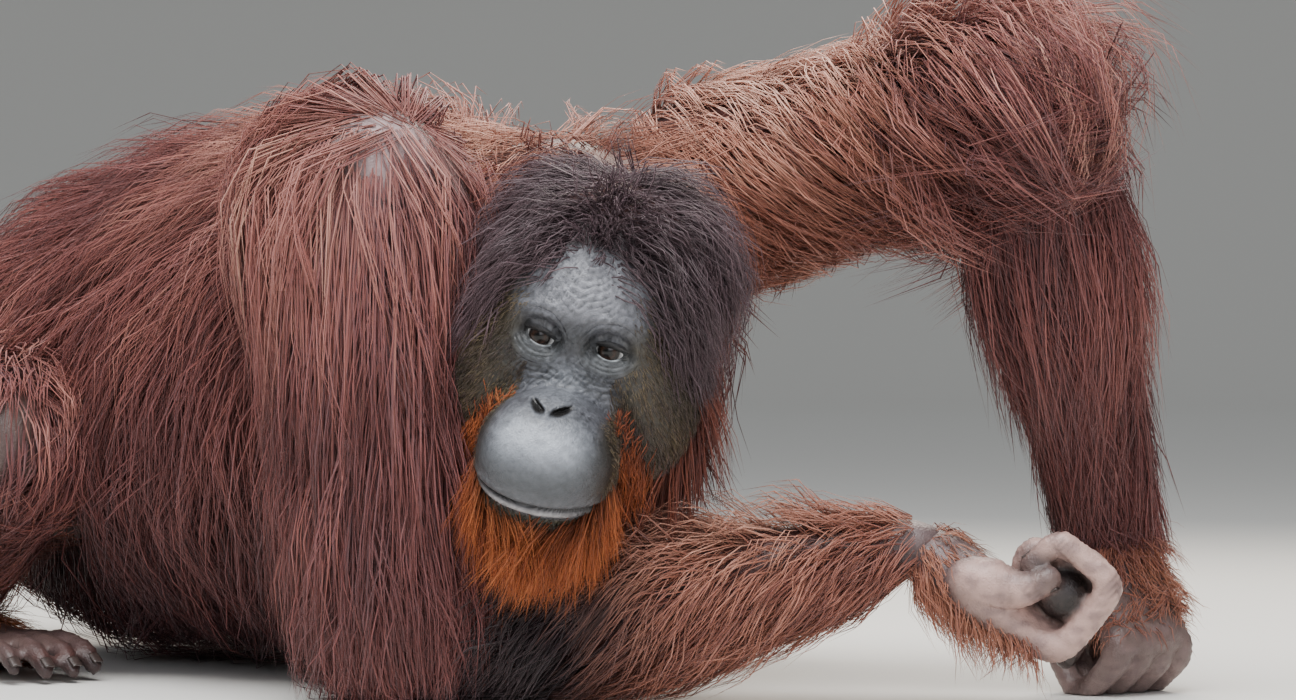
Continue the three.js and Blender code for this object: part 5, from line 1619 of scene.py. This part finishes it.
chin = short_hairs(
    3600, lambda p: (mouth_height(p) < -9) & (mouth_height(p) > -34) & (p[:, 1] < 20) & (p[:, 2] < -95)
    & (np.abs(p[:, 0]) < 46),
    lambda p, out: np.column_stack([p[:, 0] * 0.01, np.full(len(p), -0.2), np.full(len(p), -1.0)]),
    lambda p: np.full(len(p), 13.0), 0.4, widest=150)
coat_piece("hair_chin", "beard", BEARD_HAIR, chin, (0.26, 0.45),
           ["#1c1a14", "#2b281e", "#3f3622", "#5a4424"], 31, lit=0.0)

extremity_hair = []
for cell, (part_name, locks, longest, t, angles, along_share, deepest, loose) in enumerate((
    ("hand_right", 100, 58, (-0.7, 0.95), (185, 355), 0.7, 1.5, 16),
    ("hand_right", 60, 40, (-0.98, 0.1), (0, 360), 0.9, 0.7, 3),
    ("hand_left", 100, 40, (-0.9, 0.9), (175, 365), 0.5, 1.8, 30),
    ("foot_right", 110, 88, (-0.95, 0.8), (185, 355), 0.5, 2.2, 30),
    ("foot_left", 70, 60, (-0.9, 0.8), (185, 355), 0.5, 1.8, 30),
)):
    extremity_hair.append(grown(
        part_name, EXTREMITIES[part_name]["pad"], locks, 12, t, angles,
        lambda tt, aa, root, out, longest=longest: mix(longest, longest * 0.55, np.clip(tt, 0, 1)),
        lambda tt, aa, root, out, ring, along_share=along_share: flow_of(
            (ring["along"], np.full(len(tt), along_share)), (DOWN[None], np.full(len(tt), 0.6))),
        8, shape="short", cell=(cell, 5), depth=(0.3, deepest), clump=0.35, frizz=0.08, loose=loose,
        short=(0.35, 1.15)))
coat_piece("hair_hands_and_feet", "coat", HAIR, together(extremity_hair), (0.35, 0.6), ORANGE, 32,
           lit=0.1, root=0.7, over=(TAN, lambda root: 0.6 * smooth(root[:, 0], 0, 100)))


# A wide round floor whose edge sweeps up all the way round
FLOOR_RADIUS = 15000
FLOOR_RISE = 5000
FLOOR_SIDES = 96


def round_floor():
    turn = np.arange(FLOOR_SIDES) * 2 * math.pi / FLOOR_SIDES
    profile = [(600, 0), (2500, 0), (6000, 0), (FLOOR_RADIUS, 0)]
    profile += [(FLOOR_RADIUS + FLOOR_RISE * math.sin(a), FLOOR_RISE * (1 - math.cos(a)))
                for a in np.linspace(0.1, math.pi / 2, 16)]
    rings = [np.column_stack([r * np.cos(turn), r * np.sin(turn), np.full(FLOOR_SIDES, z)])
             for r, z in profile]
    points = np.vstack([[[0, 0, 0]], *rings]) - SHIFT
    k = np.arange(FLOOR_SIDES)
    after = (k + 1) % FLOOR_SIDES
    middle = np.column_stack([np.zeros(FLOOR_SIDES, int), 1 + k, 1 + after])
    bands = [np.column_stack([1 + i * FLOOR_SIDES + k, 1 + (i + 1) * FLOOR_SIDES + k,
                              1 + (i + 1) * FLOOR_SIDES + after, 1 + i * FLOOR_SIDES + after])
             for i in range(len(profile) - 1)]
    return points, [middle, *bands]


def floor_finish():
    made, tree, output = material("pale matt studio paint")
    place = node(tree, "ShaderNodeTexCoord")
    grain = node(tree, "ShaderNodeTexNoise", (), {"Vector": place.outputs["Object"], "Scale": 900.0})
    light = node(tree, "ShaderNodeValToRGB", (), {0: grain.outputs[0]})
    light.color_ramp.elements[0].color = rgba("#dcdad5")
    light.color_ramp.elements[1].color = rgba("#e4e2dd")
    shader = node(tree, "ShaderNodeBsdfPrincipled", (), {"Base Color": light.outputs[0], "Roughness": 0.8})
    tree.links.new(shader.outputs[0], output.inputs[0])
    return made


floor = mesh_object("floor", *round_floor())
floor.data.materials.append(floor_finish())


# Soft studio light from above, a wide fill from the front, and a rim from behind
def area_light(name, at, aim, size, power, colour):
    lamp = bpy.data.lights.new(name, "AREA")
    lamp.shape = "RECTANGLE"
    lamp.size, lamp.size_y = size
    lamp.energy = power
    lamp.color = linear(colour)
    holder = bpy.data.objects.new(name, lamp)
    bpy.context.scene.collection.objects.link(holder)
    holder.location = placed(at)
    holder.rotation_euler = (Vector(placed(aim)) - holder.location).to_track_quat("-Z", "Y").to_euler()


area_light("key", (-250, -900, 2500), (0, 0, 250), (2.4, 1.8), 150, "#ffffff")
area_light("fill", (300, -3200, 1300), (0, 0, 250), (2.4, 1.6), 42, "#f4f6ff")
area_light("rim", (600, 1700, 1800), (0, 0, 300), (1.6, 1.0), 50, "#fff4e6")

world = bpy.data.worlds.new("studio")
bpy.context.scene.world = world
world.use_nodes = True
world.node_tree.nodes["Background"].inputs["Color"].default_value = rgba("#e8ecf0")
world.node_tree.nodes["Background"].inputs["Strength"].default_value = 0.45

# The camera looks level along +Y, as far back and as narrow as the picture
CAMERA_AT = (0, -3000, 266)
PICTURE_WIDTH = 1296  # pixels
FOCAL_LENGTH = 3947.4  # pixels
SENSOR = 36
camera = bpy.data.cameras.new("camera")
camera.sensor_width = SENSOR
camera.lens = SENSOR * FOCAL_LENGTH / PICTURE_WIDTH
holder = bpy.data.objects.new("camera", camera)
bpy.context.scene.collection.objects.link(holder)
holder.location = placed(CAMERA_AT)
holder.rotation_euler = (math.pi / 2, 0, 0)
bpy.context.scene.camera = holder
